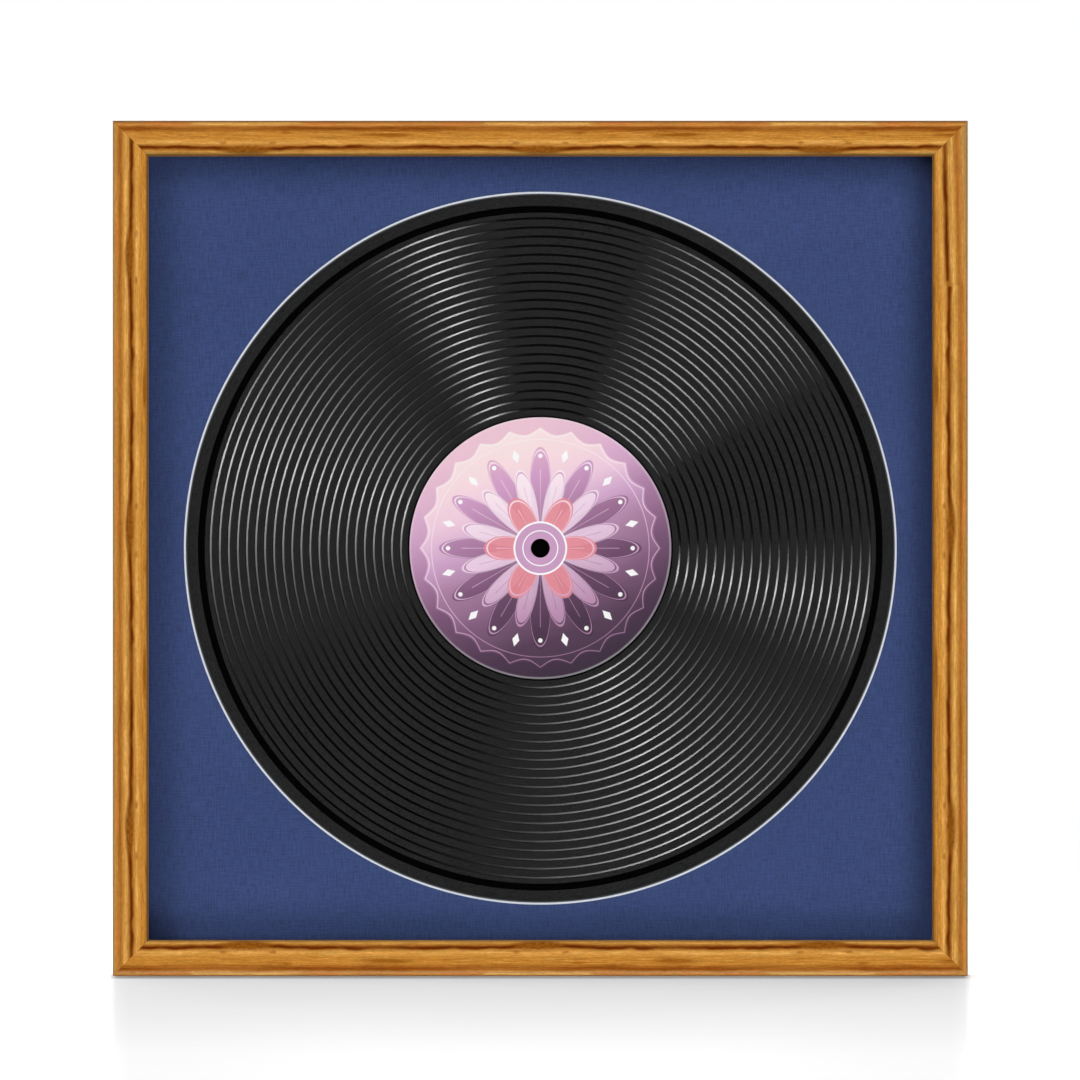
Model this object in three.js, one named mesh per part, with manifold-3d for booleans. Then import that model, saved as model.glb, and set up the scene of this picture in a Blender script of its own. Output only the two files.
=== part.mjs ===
// Square flat-profile timber wall frame that shows one 12-inch disc behind a round-windowed mat.
// Millimetres, +Z up. The display side faces -Y, +X is to the right of someone looking at it.
// Origin: middle of the footprint, on the surface the frame stands on (underside of the bottom rail).
import * as THREE from 'three';
import { mergeVertices } from 'three/addons/utils/BufferGeometryUtils.js';
import Module from 'manifold-3d';

const wasm = await Module();
wasm.setup();

// ---- driving dimensions -------------------------------------------------------------------

const OUTER = 362.4;          // outside width and height of the square frame
const FACE_W = 15.0;          // width of a rail's face
const RAIL_D = 28.0;          // depth of a rail, front to back
const RABBET_W = 6.35;        // width of the step that holds the sheets
const LIP_T = 5.0;            // thickness of the lip in front of the glazing
const ARRIS_OUT = 1.1;        // rounding of the outer front edge
const ARRIS_IN = 0.9;         // rounding of the inner front edge
const ARRIS_BACK = 0.5;       // chamfer of the outer back edge

const GAP = 0.3;              // working gap between pieces that touch
const SHEET = 342.9;          // glazing, mat and boards (13.5 in)
const GLAZING_T = 2.0;
const SPACER_D = 6.4;         // front to back
const SPACER_W = 4.4;         // stays hidden behind the 6.35 lip
const MAT_T = 1.5;
const CARRIER_T = 3.2;
const BACKING_T = 5.0;
const PANEL_T = 3.1;

const DISC_R = 150.8;         // 301.6 mm disc
const DISC_T = 2.2;
const WINDOW_R = 149.8;       // round window, at the mat's back edge
const CARRIER_R = 151.3;      // hole in the carrier board that centres the disc
const LABEL_R = 55.5;
const LABEL_T = 0.25;
const SPINDLE_R = 3.8;

const BUTTON_X = 88;          // turn buttons, from the middle of each rail
const BUTTON_T = 1.4;
const BUTTON_W = 8.0;
const BUTTON_REACH = 17.5;    // pivot to tip
const BUTTON_HOLE_R = 1.9;
const SCREW_R = 1.4;
const SCREW_HEAD_R = 3.1;
const SCREW_HEAD_H = 1.7;
const SCREW_LENGTH = 13;

const VNAIL_T = 0.7;
const VNAIL_HEIGHT = 3.0;     // along the mitre
const VNAIL_HALF = 3.4;       // across the mitre, each side
const VNAIL_DEPTH = 9.5;
const VNAIL_AT = [4.9, 9.6];  // distance of each V's point from the outer corner, along the mitre

const HANGER_L = 44;
const HANGER_H = 7.4;
const HANGER_T = 0.8;
const HANGER_RISE = 2.2;      // how far the toothed part stands off the timber
const HANGER_NAIL_X = 18.6;
const HANGER_TEETH = 9;
const TOOTH_PITCH = 2.6;
const TOOTH_H = 1.7;
const NAIL_R = 0.7;
const NAIL_HEAD_R = 1.6;
const NAIL_LENGTH = 9;

const BUMPER_R = 3.9;
const BUMPER_H = 4.0;
const BUMPER_X = 163;

// ---- depths, measured back from the rails' front face --------------------------------------

const GLAZING_AT = LIP_T + GAP;
const SPACER_AT = GLAZING_AT + GLAZING_T + GAP;
const MAT_AT = SPACER_AT + SPACER_D + GAP;
const CARRIER_AT = MAT_AT + MAT_T + GAP;
const BACKING_AT = CARRIER_AT + CARRIER_T + GAP;
const PANEL_AT = BACKING_AT + BACKING_T + GAP;
const TOTAL_D = RAIL_D + GAP + BUMPER_H;     // rail face to the back of the bumpers
const HALF = OUTER / 2;
const LAND = FACE_W - RABBET_W;              // width of a rail's back
const LAND_MID = HALF - LAND / 2;            // middle of that width, from the frame's centre

// ---- helpers --------------------------------------------------------------------------------

// A closed geometry as a solid, with its faces pointing out.
function solid(geometry) {
  const g = geometry.clone();
  g.deleteAttribute('normal');
  g.deleteAttribute('uv');
  const merged = mergeVertices(g, 1e-4);
  const index = merged.index.array;
  const kept = [];
  for (let i = 0; i < index.length; i += 3) {
    const [a, b, c] = [index[i], index[i + 1], index[i + 2]];
    if (a !== b && b !== c && a !== c) kept.push(a, b, c);
  }
  const p = merged.attributes.position.array;
  let volume = 0;
  for (let i = 0; i < kept.length; i += 3) {
    const [a, b, c] = [kept[i] * 3, kept[i + 1] * 3, kept[i + 2] * 3];
    volume += p[a] * (p[b + 1] * p[c + 2] - p[b + 2] * p[c + 1])
      - p[a + 1] * (p[b] * p[c + 2] - p[b + 2] * p[c])
      + p[a + 2] * (p[b] * p[c + 1] - p[b + 1] * p[c]);
  }
  if (volume < 0) {
    for (let i = 0; i < kept.length; i += 3) [kept[i + 1], kept[i + 2]] = [kept[i + 2], kept[i + 1]];
  }
  return new wasm.Manifold(new wasm.Mesh({
    numProp: 3,
    vertProperties: new Float32Array(p),
    triVerts: new Uint32Array(kept),
  }));
}

function geometryOf(body) {
  const m = body.getMesh();
  const positions = new Float32Array(m.numVert * 3);
  for (let i = 0; i < m.numVert; i++) {
    for (let k = 0; k < 3; k++) positions[i * 3 + k] = m.vertProperties[i * m.numProp + k];
  }
  const g = new THREE.BufferGeometry();
  g.setAttribute('position', new THREE.BufferAttribute(positions, 3));
  g.setIndex(new THREE.BufferAttribute(new Uint32Array(m.triVerts), 1));
  const flat = g.toNonIndexed();
  flat.computeVertexNormals();
  return flat;
}

// A prism whose outline lies in the X-Z plane, from y0 back to y1.
function prismY(shape, y0, y1, options = {}) {
  const g = new THREE.ExtrudeGeometry(shape, { depth: y1 - y0, bevelEnabled: false, curveSegments: 12, ...options });
  g.rotateX(Math.PI / 2);
  g.translate(0, y1, 0);
  return g;
}

function outline(points) {
  return new THREE.Shape(points.map(([x, z]) => new THREE.Vector2(x, z)));
}

function cylinderY(radius, y0, y1, x, z, segments = 24) {
  const g = new THREE.CylinderGeometry(radius, radius, y1 - y0, segments);
  g.translate(x, (y0 + y1) / 2, z);
  return g;
}

// Solid of revolution about a Y line through (x, z). Points are [radius, y].
function turned(points, segments, x = 0, z = 0) {
  const g = new THREE.LatheGeometry(points.map(([r, y]) => new THREE.Vector2(r, y)), segments);
  g.translate(x, 0, z);
  return g;
}

function slab(width, height, y0, y1) {
  const g = new THREE.BoxGeometry(width, y1 - y0, height);
  g.translate(0, (y0 + y1) / 2, 0);
  return g;
}

function quarter(cx, cy, radius, from, to, steps) {
  const points = [];
  for (let i = 0; i <= steps; i++) {
    const a = from + ((to - from) * i) / steps;
    points.push([cx + radius * Math.cos(a), cy + radius * Math.sin(a)]);
  }
  return points;
}

// ---- materials ------------------------------------------------------------------------------

const finish = (color, roughness, metalness = 0, extra = {}) =>
  new THREE.MeshStandardMaterial({ color, roughness, metalness, ...extra });
const oak = finish(0xbe8440, 0.45);
const acrylic = finish(0xf2f6f7, 0.05, 0, { transparent: true, opacity: 0.2 });
const spacerBlack = finish(0x1c1c1f, 0.8);
const matBlue = finish(0x3c4b79, 0.9);
const vinyl = finish(0x141416, 0.22);
const labelPaper = finish(0xcf9fb4, 0.6);
const foamBoard = finish(0x1b1b1c, 0.9);
const hardboard = finish(0x7a5434, 0.75);
const zinc = finish(0xb9bcc0, 0.35, 1);
const brass = finish(0xc8a24c, 0.32, 1);
const rubber = finish(0x2a2a2c, 0.85);

// The frame group is centred on the opening: local Z is 0 at mid height, local Y is depth.
const object = new THREE.Group();
const frame = new THREE.Group();
frame.position.set(0, -TOTAL_D / 2, HALF);
object.add(frame);

function add(name, geometry, material, parent = frame) {
  const mesh = new THREE.Mesh(geometry, material);
  mesh.name = name;
  parent.add(mesh);
  return mesh;
}

// ---- rails ----------------------------------------------------------------------------------
// Each rail is drawn as the bottom one and turned about the frame's centre.

// Section: w runs from the outer edge inwards, y from the face to the back.
const section = [
  ...quarter(ARRIS_OUT, ARRIS_OUT, ARRIS_OUT, Math.PI, 1.5 * Math.PI, 4),
  ...quarter(FACE_W - ARRIS_IN, ARRIS_IN, ARRIS_IN, 1.5 * Math.PI, 2 * Math.PI, 4),
  [FACE_W, LIP_T],
  [LAND, LIP_T],
  [LAND, RAIL_D],
  [ARRIS_BACK, RAIL_D],
  [0, RAIL_D - ARRIS_BACK],
];

// A V-shaped strip across the mitre of the left lower corner, thickened by `clear` all round.
function vOutline(at, clear) {
  const e = VNAIL_T / 2 + clear;
  const length = Math.hypot(VNAIL_HEIGHT, VNAIL_HALF);
  const [ds, dt] = [VNAIL_HEIGHT / length, VNAIL_HALF / length];
  const [ns, nt] = [-dt, ds];
  const end = [at + VNAIL_HEIGHT + ds * clear, VNAIL_HALF + dt * clear];
  const tip = (e * length) / VNAIL_HALF;
  const points = [
    [at - tip, 0],
    [end[0] + ns * e, end[1] + nt * e],
    [end[0] - ns * e, end[1] - nt * e],
    [at + tip, 0],
    [end[0] - ns * e, -(end[1] - nt * e)],
    [end[0] + ns * e, -(end[1] + nt * e)],
  ];
  return outline(points.map(([s, t]) => [-HALF + (s - t) / Math.SQRT2, -HALF + (s + t) / Math.SQRT2]));
}

function vSlots(clear, from, to) {
  return VNAIL_AT.map((at) => prismY(vOutline(at, clear), from, to));
}

function makeRail(extraHoles = []) {
  const g = new THREE.ExtrudeGeometry(outline(section), { depth: OUTER, steps: 1, bevelEnabled: false });
  g.rotateY(-Math.PI / 2);
  g.translate(HALF, 0, -HALF);
  // Mitred ends: each end face leans inwards by the distance from the outer edge.
  const p = g.attributes.position;
  const back = (GAP / 2) * Math.SQRT2;
  for (let i = 0; i < p.count; i++) {
    const inset = p.getZ(i) + HALF + back;
    p.setX(i, p.getX(i) - Math.sign(p.getX(i)) * inset);
  }
  let body = solid(g);
  const cut = (geometry) => { body = body.subtract(solid(geometry)); };
  for (const side of [-1, 1]) {
    cut(cylinderY(SCREW_R + GAP, RAIL_D - SCREW_LENGTH, RAIL_D + 1, side * BUTTON_X, -LAND_MID, 16));
    for (const slot of vSlots(GAP, RAIL_D - VNAIL_DEPTH - 2 * GAP, RAIL_D + 1)) {
      if (side > 0) slot.applyMatrix4(new THREE.Matrix4().makeScale(-1, 1, 1));
      cut(slot);
    }
  }
  extraHoles.forEach(cut);
  return geometryOf(body);
}

// The top rail is turned half round, so its nail holes are drawn at the bottom rail's place.
const nailHoles = [-1, 1].map((side) =>
  cylinderY(NAIL_R + GAP, RAIL_D - NAIL_LENGTH, RAIL_D + 1, side * HANGER_NAIL_X, -LAND_MID, 12));

const plainRail = makeRail();
const SIDES = [
  { name: 'bottom', turn: 0, rail: plainRail },
  { name: 'left', turn: Math.PI / 2, rail: plainRail },
  { name: 'top', turn: Math.PI, rail: makeRail(nailHoles) },
  { name: 'right', turn: -Math.PI / 2, rail: plainRail },
];

// ---- turn buttons and their screws ----------------------------------------------------------

// Outline about the pivot, closed position pointing to the frame's middle (+Z of the bottom rail).
function buttonOutline() {
  const r = BUTTON_W / 2;
  const tip = 2.6;
  const s = new THREE.Shape();
  s.absarc(0, 0, r, Math.PI, 2 * Math.PI, false);
  s.lineTo(r, 3);
  s.lineTo(tip, BUTTON_REACH - tip);
  s.absarc(0, BUTTON_REACH - tip, tip, 0, Math.PI, false);
  s.lineTo(-r, 3);
  s.closePath();
  const hole = new THREE.Path();
  hole.absarc(0, 0, BUTTON_HOLE_R, 0, 2 * Math.PI, true);
  s.holes.push(hole);
  return s;
}

const BUTTON_AT = RAIL_D + GAP;
const buttonGeometry = geometryOf(solid(prismY(buttonOutline(), BUTTON_AT, BUTTON_AT + BUTTON_T, { curveSegments: 10 })));

function screwGeometry() {
  const seat = BUTTON_AT + BUTTON_T + GAP;
  const top = seat + SCREW_HEAD_H;
  const tip = RAIL_D - SCREW_LENGTH + 0.8;
  const body = solid(turned([
    [0, tip],
    [SCREW_R, tip + 3],
    [SCREW_R, seat],
    [SCREW_HEAD_R, seat],
    [SCREW_HEAD_R, seat + 0.5],
    [SCREW_HEAD_R - 0.35, seat + 1.1],
    [SCREW_HEAD_R - 1.0, seat + 1.5],
    [0, top],
  ], 20));
  // Cross recess in the head.
  const arm = (w, h) => {
    const g = new THREE.BoxGeometry(w, 1.6, h);
    g.translate(0, top + 0.8 - 1.1, 0);
    return solid(g);
  };
  return geometryOf(body.subtract(arm(3.0, 0.7)).subtract(arm(0.7, 3.0)));
}
const screw = screwGeometry();

for (const side of SIDES) {
  const holder = new THREE.Group();
  holder.rotation.y = side.turn;
  frame.add(holder);
  add(`rail_${side.name}`, side.rail, oak, holder);
  [-1, 1].forEach((s, i) => {
    const at = new THREE.Group();
    at.position.set(s * BUTTON_X, 0, -LAND_MID);
    holder.add(at);
    const tag = `${side.name}_${i + 1}`;
    add(`turn_button_${tag}`, buttonGeometry, zinc, at);
    add(`button_screw_${tag}`, screw, zinc, at);
  });
}

// ---- V-nails that pull the mitres together --------------------------------------------------

const CORNERS = [
  ['bottom_left', 0],
  ['top_left', Math.PI / 2],
  ['top_right', Math.PI],
  ['bottom_right', -Math.PI / 2],
];
const nailsV = vSlots(0, RAIL_D - GAP - VNAIL_DEPTH, RAIL_D - GAP).map((g) => geometryOf(solid(g)));
for (const [corner, turn] of CORNERS) {
  const holder = new THREE.Group();
  holder.rotation.y = turn;
  frame.add(holder);
  nailsV.forEach((g, i) => add(`v_nail_${corner}_${i === 0 ? 'outer' : 'inner'}`, g, zinc, holder));
}

// ---- sheets and boards ----------------------------------------------------------------------

add('glazing', slab(SHEET, SHEET, GLAZING_AT, GLAZING_AT + GLAZING_T), acrylic);

const spacerMid = SHEET / 2 - SPACER_W / 2;
const spacerY = [SPACER_AT, SPACER_AT + SPACER_D];
for (const [name, sign] of [['top', 1], ['bottom', -1]]) {
  add(`spacer_${name}`, slab(SHEET, SPACER_W, ...spacerY), spacerBlack).position.z = sign * spacerMid;
}
for (const [name, sign] of [['left', -1], ['right', 1]]) {
  add(`spacer_${name}`, slab(SPACER_W, SHEET - 2 * (SPACER_W + GAP), ...spacerY), spacerBlack).position.x = sign * spacerMid;
}

// Bevelled round window: 45 degrees, wider at the front.
function matGeometry() {
  const cone = turned([
    [0, MAT_AT - 1],
    [WINDOW_R + MAT_T + 1, MAT_AT - 1],
    [WINDOW_R - 1, MAT_AT + MAT_T + 1],
    [0, MAT_AT + MAT_T + 1],
  ], 144);
  return geometryOf(solid(slab(SHEET, SHEET, MAT_AT, MAT_AT + MAT_T)).subtract(solid(cone)));
}
add('mat_board', matGeometry(), matBlue);

function carrierGeometry() {
  const hole = cylinderY(CARRIER_R, CARRIER_AT - 1, CARRIER_AT + CARRIER_T + 1, 0, 0, 120);
  return geometryOf(solid(slab(SHEET, SHEET, CARRIER_AT, CARRIER_AT + CARRIER_T)).subtract(solid(hole)));
}
add('carrier_board', carrierGeometry(), foamBoard);
add('backing_board', slab(SHEET, SHEET, BACKING_AT, BACKING_AT + BACKING_T), foamBoard);
add('back_panel', slab(SHEET, SHEET, PANEL_AT, PANEL_AT + PANEL_T), hardboard);

// ---- disc and its two labels ----------------------------------------------------------------

const DISC_AT = CARRIER_AT;
const recess = LABEL_T + GAP;
const recessR = LABEL_R + GAP;
add('record_disc', geometryOf(solid(turned([
  [SPINDLE_R, DISC_AT + recess],
  [recessR, DISC_AT + recess],
  [recessR, DISC_AT],
  [DISC_R - 0.5, DISC_AT],
  [DISC_R, DISC_AT + 0.6],
  [DISC_R, DISC_AT + DISC_T - 0.6],
  [DISC_R - 0.5, DISC_AT + DISC_T],
  [recessR, DISC_AT + DISC_T],
  [recessR, DISC_AT + DISC_T - recess],
  [SPINDLE_R, DISC_AT + DISC_T - recess],
  [SPINDLE_R, DISC_AT + recess],
], 120))), vinyl);

function labelGeometry(y0) {
  return geometryOf(solid(turned([
    [SPINDLE_R, y0],
    [LABEL_R, y0],
    [LABEL_R, y0 + LABEL_T],
    [SPINDLE_R, y0 + LABEL_T],
    [SPINDLE_R, y0],
  ], 96)));
}
add('label_front', labelGeometry(DISC_AT), labelPaper);
add('label_back', labelGeometry(DISC_AT + DISC_T - LABEL_T), labelPaper);

// ---- sawtooth hanger and its nails, on the top rail's back ----------------------------------

function hangerGeometry() {
  const half = HANGER_L / 2;
  const bend = 13.6;        // start of the raised part, from the middle
  const ramp = 1.8;
  const y0 = RAIL_D + GAP;
  const y1 = y0 + HANGER_RISE;
  const t = HANGER_T;
  // Seen from above: flat tabs at the ends, raised strip between them. Points are [x, depth].
  const side = [
    [-half, y0], [-bend, y0], [-bend + ramp, y1], [bend - ramp, y1], [bend, y0], [half, y0],
    [half, y0 + t], [bend + 0.3, y0 + t], [bend - ramp + 0.3, y1 + t], [-bend + ramp - 0.3, y1 + t], [-bend - 0.3, y0 + t], [-half, y0 + t],
  ];
  const g = new THREE.ExtrudeGeometry(outline(side), { depth: HANGER_H, bevelEnabled: false });
  g.translate(0, 0, LAND_MID - HANGER_H / 2);
  let body = solid(g);
  for (const s of [-1, 1]) {
    body = body.subtract(solid(cylinderY(NAIL_R + GAP, y0 - 1, y0 + t + 1, s * HANGER_NAIL_X, LAND_MID, 12)));
    // Rounded ends of the tabs.
    const corner = (z) => {
      const k = new THREE.BoxGeometry(3, 6, 3);
      k.rotateY(Math.PI / 4);
      k.translate(s * (half + 0.55), y0, z);
      return solid(k);
    };
    body = body.subtract(corner(LAND_MID + HANGER_H / 2 + 0.55)).subtract(corner(LAND_MID - HANGER_H / 2 - 0.55));
  }
  const low = LAND_MID - HANGER_H / 2;
  for (let i = 0; i < HANGER_TEETH; i++) {
    const x = (i - (HANGER_TEETH - 1) / 2) * TOOTH_PITCH;
    const notch = outline([[x - TOOTH_PITCH / 2 + 0.2, low - 1], [x + TOOTH_PITCH / 2 - 0.2, low - 1], [x + TOOTH_PITCH / 2 - 0.2, low], [x, low + TOOTH_H], [x - TOOTH_PITCH / 2 + 0.2, low]]);
    body = body.subtract(solid(prismY(notch, y0 - 1, y1 + t + 1)));
  }
  return geometryOf(body);
}
add('sawtooth_hanger', hangerGeometry(), brass);

const nailSeat = RAIL_D + GAP + HANGER_T + GAP;
const nail = geometryOf(solid(turned([
  [0, RAIL_D - NAIL_LENGTH + 0.8],
  [NAIL_R, RAIL_D - NAIL_LENGTH + 2.6],
  [NAIL_R, nailSeat],
  [NAIL_HEAD_R, nailSeat],
  [NAIL_HEAD_R, nailSeat + 0.5],
  [NAIL_HEAD_R - 0.4, nailSeat + 0.8],
  [0, nailSeat + 0.9],
], 14)));
[['left', -1], ['right', 1]].forEach(([name, s]) => {
  add(`hanger_nail_${name}`, nail, brass).position.set(s * HANGER_NAIL_X, 0, LAND_MID);
});

// ---- bumpers on the bottom rail's back ------------------------------------------------------

const bumper = geometryOf(solid(turned([
  [0, RAIL_D + GAP],
  [BUMPER_R, RAIL_D + GAP],
  [BUMPER_R, RAIL_D + GAP + BUMPER_H - 1.3],
  [BUMPER_R - 0.4, RAIL_D + GAP + BUMPER_H - 0.4],
  [BUMPER_R - 1.2, RAIL_D + GAP + BUMPER_H],
  [0, RAIL_D + GAP + BUMPER_H],
], 28)));
[['left', -1], ['right', 1]].forEach(([name, s]) => {
  add(`bumper_${name}`, bumper, rubber).position.set(s * BUMPER_X, 0, -LAND_MID);
});

export default object;
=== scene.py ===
import math

import bmesh
import bpy
import numpy as np
from mathutils import Matrix, Vector


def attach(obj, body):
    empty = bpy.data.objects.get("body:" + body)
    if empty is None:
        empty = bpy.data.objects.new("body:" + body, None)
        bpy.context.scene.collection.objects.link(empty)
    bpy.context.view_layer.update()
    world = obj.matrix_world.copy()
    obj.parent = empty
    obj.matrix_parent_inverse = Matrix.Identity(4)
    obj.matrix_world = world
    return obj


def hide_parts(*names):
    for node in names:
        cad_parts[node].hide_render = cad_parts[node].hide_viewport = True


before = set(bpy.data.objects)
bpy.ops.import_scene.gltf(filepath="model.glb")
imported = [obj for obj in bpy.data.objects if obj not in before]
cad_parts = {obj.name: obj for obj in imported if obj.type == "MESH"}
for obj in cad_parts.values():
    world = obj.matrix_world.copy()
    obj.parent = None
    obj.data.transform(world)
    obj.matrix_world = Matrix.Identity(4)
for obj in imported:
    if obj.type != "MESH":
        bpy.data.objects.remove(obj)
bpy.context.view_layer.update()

SCENE = bpy.context.scene
COLLECTION = SCENE.collection
MM = 0.001

OUTER = 362.4
HALF = OUTER / 2
FACE_W = 15.0
RAIL_D = 28.0
LAND = 8.65
LIP_T = 5.0
LAND_MID = HALF - LAND / 2
FRONT = -16.15           # world y of the front face
BUTTON_X = 88.0

SHEET = 342.9
MAT_AT, MAT_T = 14.3, 1.5
WINDOW_R = 149.8
DISC_AT, DISC_T, DISC_R = 16.1, 2.2, 150.8
LABEL_R, LABEL_T = 55.5, 0.25
SPINDLE_R = 3.8
PANEL_AT, PANEL_T = 24.9, 3.1

SIDES = {"bottom": 0.0, "left": math.pi / 2, "top": math.pi, "right": -math.pi / 2}


# ---- node graphs ---------------------------------------------------------------------------

class Val:
    """One output socket that can be used in sums."""

    def __init__(self, g, socket):
        self.g, self.s = g, socket

    def __add__(self, o): return self.g.math("ADD", self, o)
    def __radd__(self, o): return self.g.math("ADD", o, self)
    def __sub__(self, o): return self.g.math("SUBTRACT", self, o)
    def __rsub__(self, o): return self.g.math("SUBTRACT", o, self)
    def __mul__(self, o): return self.g.math("MULTIPLY", self, o)
    def __rmul__(self, o): return self.g.math("MULTIPLY", o, self)
    def __truediv__(self, o): return self.g.math("DIVIDE", self, o)
    def __neg__(self): return self.g.math("MULTIPLY", self, -1.0)
    def __pow__(self, o): return self.g.math("POWER", self, o)


class Graph:
    def __init__(self, tree):
        self.tree = tree
        tree.nodes.clear()
        self.count = 0

    def node(self, kind, **props):
        n = self.tree.nodes.new(kind)
        for k, v in props.items():
            setattr(n, k, v)
        n.location = ((self.count % 24) * 180, -(self.count // 24) * 260)
        self.count += 1
        return n

    def put(self, socket, value):
        if isinstance(value, Val):
            self.tree.links.new(value.s, socket)
        elif value is not None:
            socket.default_value = value

    def math(self, op, a, b=None, c=None, clamp=False):
        n = self.node("ShaderNodeMath", operation=op, use_clamp=clamp)
        for i, x in enumerate((a, b, c)):
            self.put(n.inputs[i], x)
        return Val(self, n.outputs[0])

    def abs(self, a): return self.math("ABSOLUTE", a)
    def sin(self, a): return self.math("SINE", a)
    def cos(self, a): return self.math("COSINE", a)
    def sqrt(self, a): return self.math("SQRT", a)
    def low(self, a, b): return self.math("MINIMUM", a, b)
    def high(self, a, b): return self.math("MAXIMUM", a, b)
    def clamp(self, a): return self.math("MULTIPLY", a, 1.0, clamp=True)
    def wrap(self, a, lo, hi): return self.math("WRAP", a, hi, lo)

    def step(self, a, lo, hi, y0=0.0, y1=1.0, smooth=True):
        n = self.node("ShaderNodeMapRange", interpolation_type="SMOOTHSTEP" if smooth else "LINEAR")
        for i, x in enumerate((a, lo, hi, y0, y1)):
            self.put(n.inputs[i], x)
        return Val(self, n.outputs[0])

    def vec(self, x, y, z=0.0):
        n = self.node("ShaderNodeCombineXYZ")
        for i, a in enumerate((x, y, z)):
            self.put(n.inputs[i], a)
        return Val(self, n.outputs[0])

    def xyz(self, v):
        n = self.node("ShaderNodeSeparateXYZ")
        self.put(n.inputs[0], v)
        return [Val(self, o) for o in n.outputs]

    def noise(self, v, scale=1.0, detail=2.0, rough=0.5, distortion=0.0):
        n = self.node("ShaderNodeTexNoise", noise_dimensions="3D")
        self.put(n.inputs["Vector"], v)
        n.inputs["Scale"].default_value = scale
        n.inputs["Detail"].default_value = detail
        n.inputs["Roughness"].default_value = rough
        n.inputs["Distortion"].default_value = distortion
        return Val(self, n.outputs[0])

    def noise1(self, w, scale=1.0, detail=1.0, rough=0.5):
        n = self.node("ShaderNodeTexNoise", noise_dimensions="1D")
        self.put(n.inputs["W"], w)
        n.inputs["Scale"].default_value = scale
        n.inputs["Detail"].default_value = detail
        n.inputs["Roughness"].default_value = rough
        return Val(self, n.outputs[0])

    def cells(self, v, scale=1.0, feature="F1", output=0, randomness=1.0):
        n = self.node("ShaderNodeTexVoronoi", voronoi_dimensions="3D", feature=feature)
        self.put(n.inputs["Vector"], v)
        n.inputs["Scale"].default_value = scale
        n.inputs["Randomness"].default_value = randomness
        return Val(self, n.outputs[output])

    def ramp(self, a, stops, mode="LINEAR"):
        n = self.node("ShaderNodeValToRGB")
        n.color_ramp.interpolation = mode
        el = n.color_ramp.elements
        while len(el) < len(stops):
            el.new(0.5)
        for e, (at, colour) in zip(el, stops):
            e.position = at
            e.color = (*colour, 1.0) if len(colour) == 3 else colour
        self.put(n.inputs[0], a)
        return Val(self, n.outputs[0])

    def mix(self, f, a, b, blend="MIX"):
        n = self.node("ShaderNodeMix", data_type="RGBA", blend_type=blend)
        self.put(n.inputs[0], f)
        for socket, x in ((n.inputs[6], a), (n.inputs[7], b)):
            self.put(socket, (*x, 1.0) if isinstance(x, tuple) and len(x) == 3 else x)
        return Val(self, n.outputs[2])

    def scale_colour(self, colour, f):
        """Colour times a number."""
        n = self.node("ShaderNodeVectorMath", operation="SCALE")
        self.put(n.inputs[0], colour)
        self.put(n.inputs[3], f)
        return Val(self, n.outputs[0])

    def bump(self, height, distance, strength=1.0, normal=None):
        n = self.node("ShaderNodeBump")
        n.inputs["Strength"].default_value = strength
        n.inputs["Distance"].default_value = distance
        self.put(n.inputs["Height"], height)
        self.put(n.inputs["Normal"], normal)
        return Val(self, n.outputs[0])

    def object_mm(self):
        """Object coordinates in millimetres: [x, y, z]."""
        n = self.node("ShaderNodeTexCoord")
        m = self.node("ShaderNodeVectorMath", operation="SCALE")
        self.tree.links.new(n.outputs["Object"], m.inputs[0])
        m.inputs[3].default_value = 1000.0
        return Val(self, m.outputs[0])

    def uv(self, name):
        n = self.node("ShaderNodeUVMap")
        n.uv_map = name
        return Val(self, n.outputs[0])

    # Shapes, all 0 to 1.
    def hump(self, t, c, h):
        """Smooth hump of half-length h about c."""
        a = (t - c) * (1.0 / h)
        b = self.math("SUBTRACT", 1.0, a * a, clamp=True)
        return b * b

    def band(self, v, c, w, soft):
        """1 within w of c, with edges soft wide."""
        return self.step(self.abs(v - c), self.high(w - soft, 0.0) if isinstance(w, Val) else max(w - soft, 0.0), w + soft, 1.0, 0.0)

    def blob(self, u, v, cu, cv, a, b, soft=0.35):
        p, q = (u - cu) * (1.0 / a), (v - cv) * (1.0 / b)
        return self.step(self.sqrt(p * p + q * q), 1 - soft, 1 + soft, 1.0, 0.0)


def lin(r, g, b):
    """Screen colour, 0 to 255, as the linear numbers that shaders take."""
    def one(c):
        c /= 255.0
        return c / 12.92 if c <= 0.04045 else ((c + 0.055) / 1.055) ** 2.4
    return (one(r), one(g), one(b))


MATERIALS = {}


def material(name, build, **fixed):
    """A Principled material. build(g) returns the linked sockets; fixed are plain socket values."""
    m = bpy.data.materials.new(name)
    m.use_nodes = True
    g = Graph(m.node_tree)
    out = g.node("ShaderNodeOutputMaterial")
    p = g.node("ShaderNodeBsdfPrincipled")
    m.node_tree.links.new(p.outputs[0], out.inputs[0])
    for k, v in fixed.items():
        p.inputs[k.replace("_", " ")].default_value = v
    for k, v in build(g).items():
        g.put(p.inputs[k], v)
    MATERIALS[name] = m
    return m


# ---- golden oak ----------------------------------------------------------------------------
# UV map "Grain": u runs along the rail in millimetres from its middle, v across it from the
# outer edge. On the outer side v goes on below 0, on the lip's inner side above FACE_W, and on
# the back from 60. All rails are cut from one figured board: t is the place along its figure,
# which repeats every 122 mm, and T the place across it. The upright rails show it turned over.

FIGURE = 122.0
TURNED_AT = 19.4          # T of an upright rail's outer edge
FORK_U = 111.7            # where the right rail's upper piece of veneer joins

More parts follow.
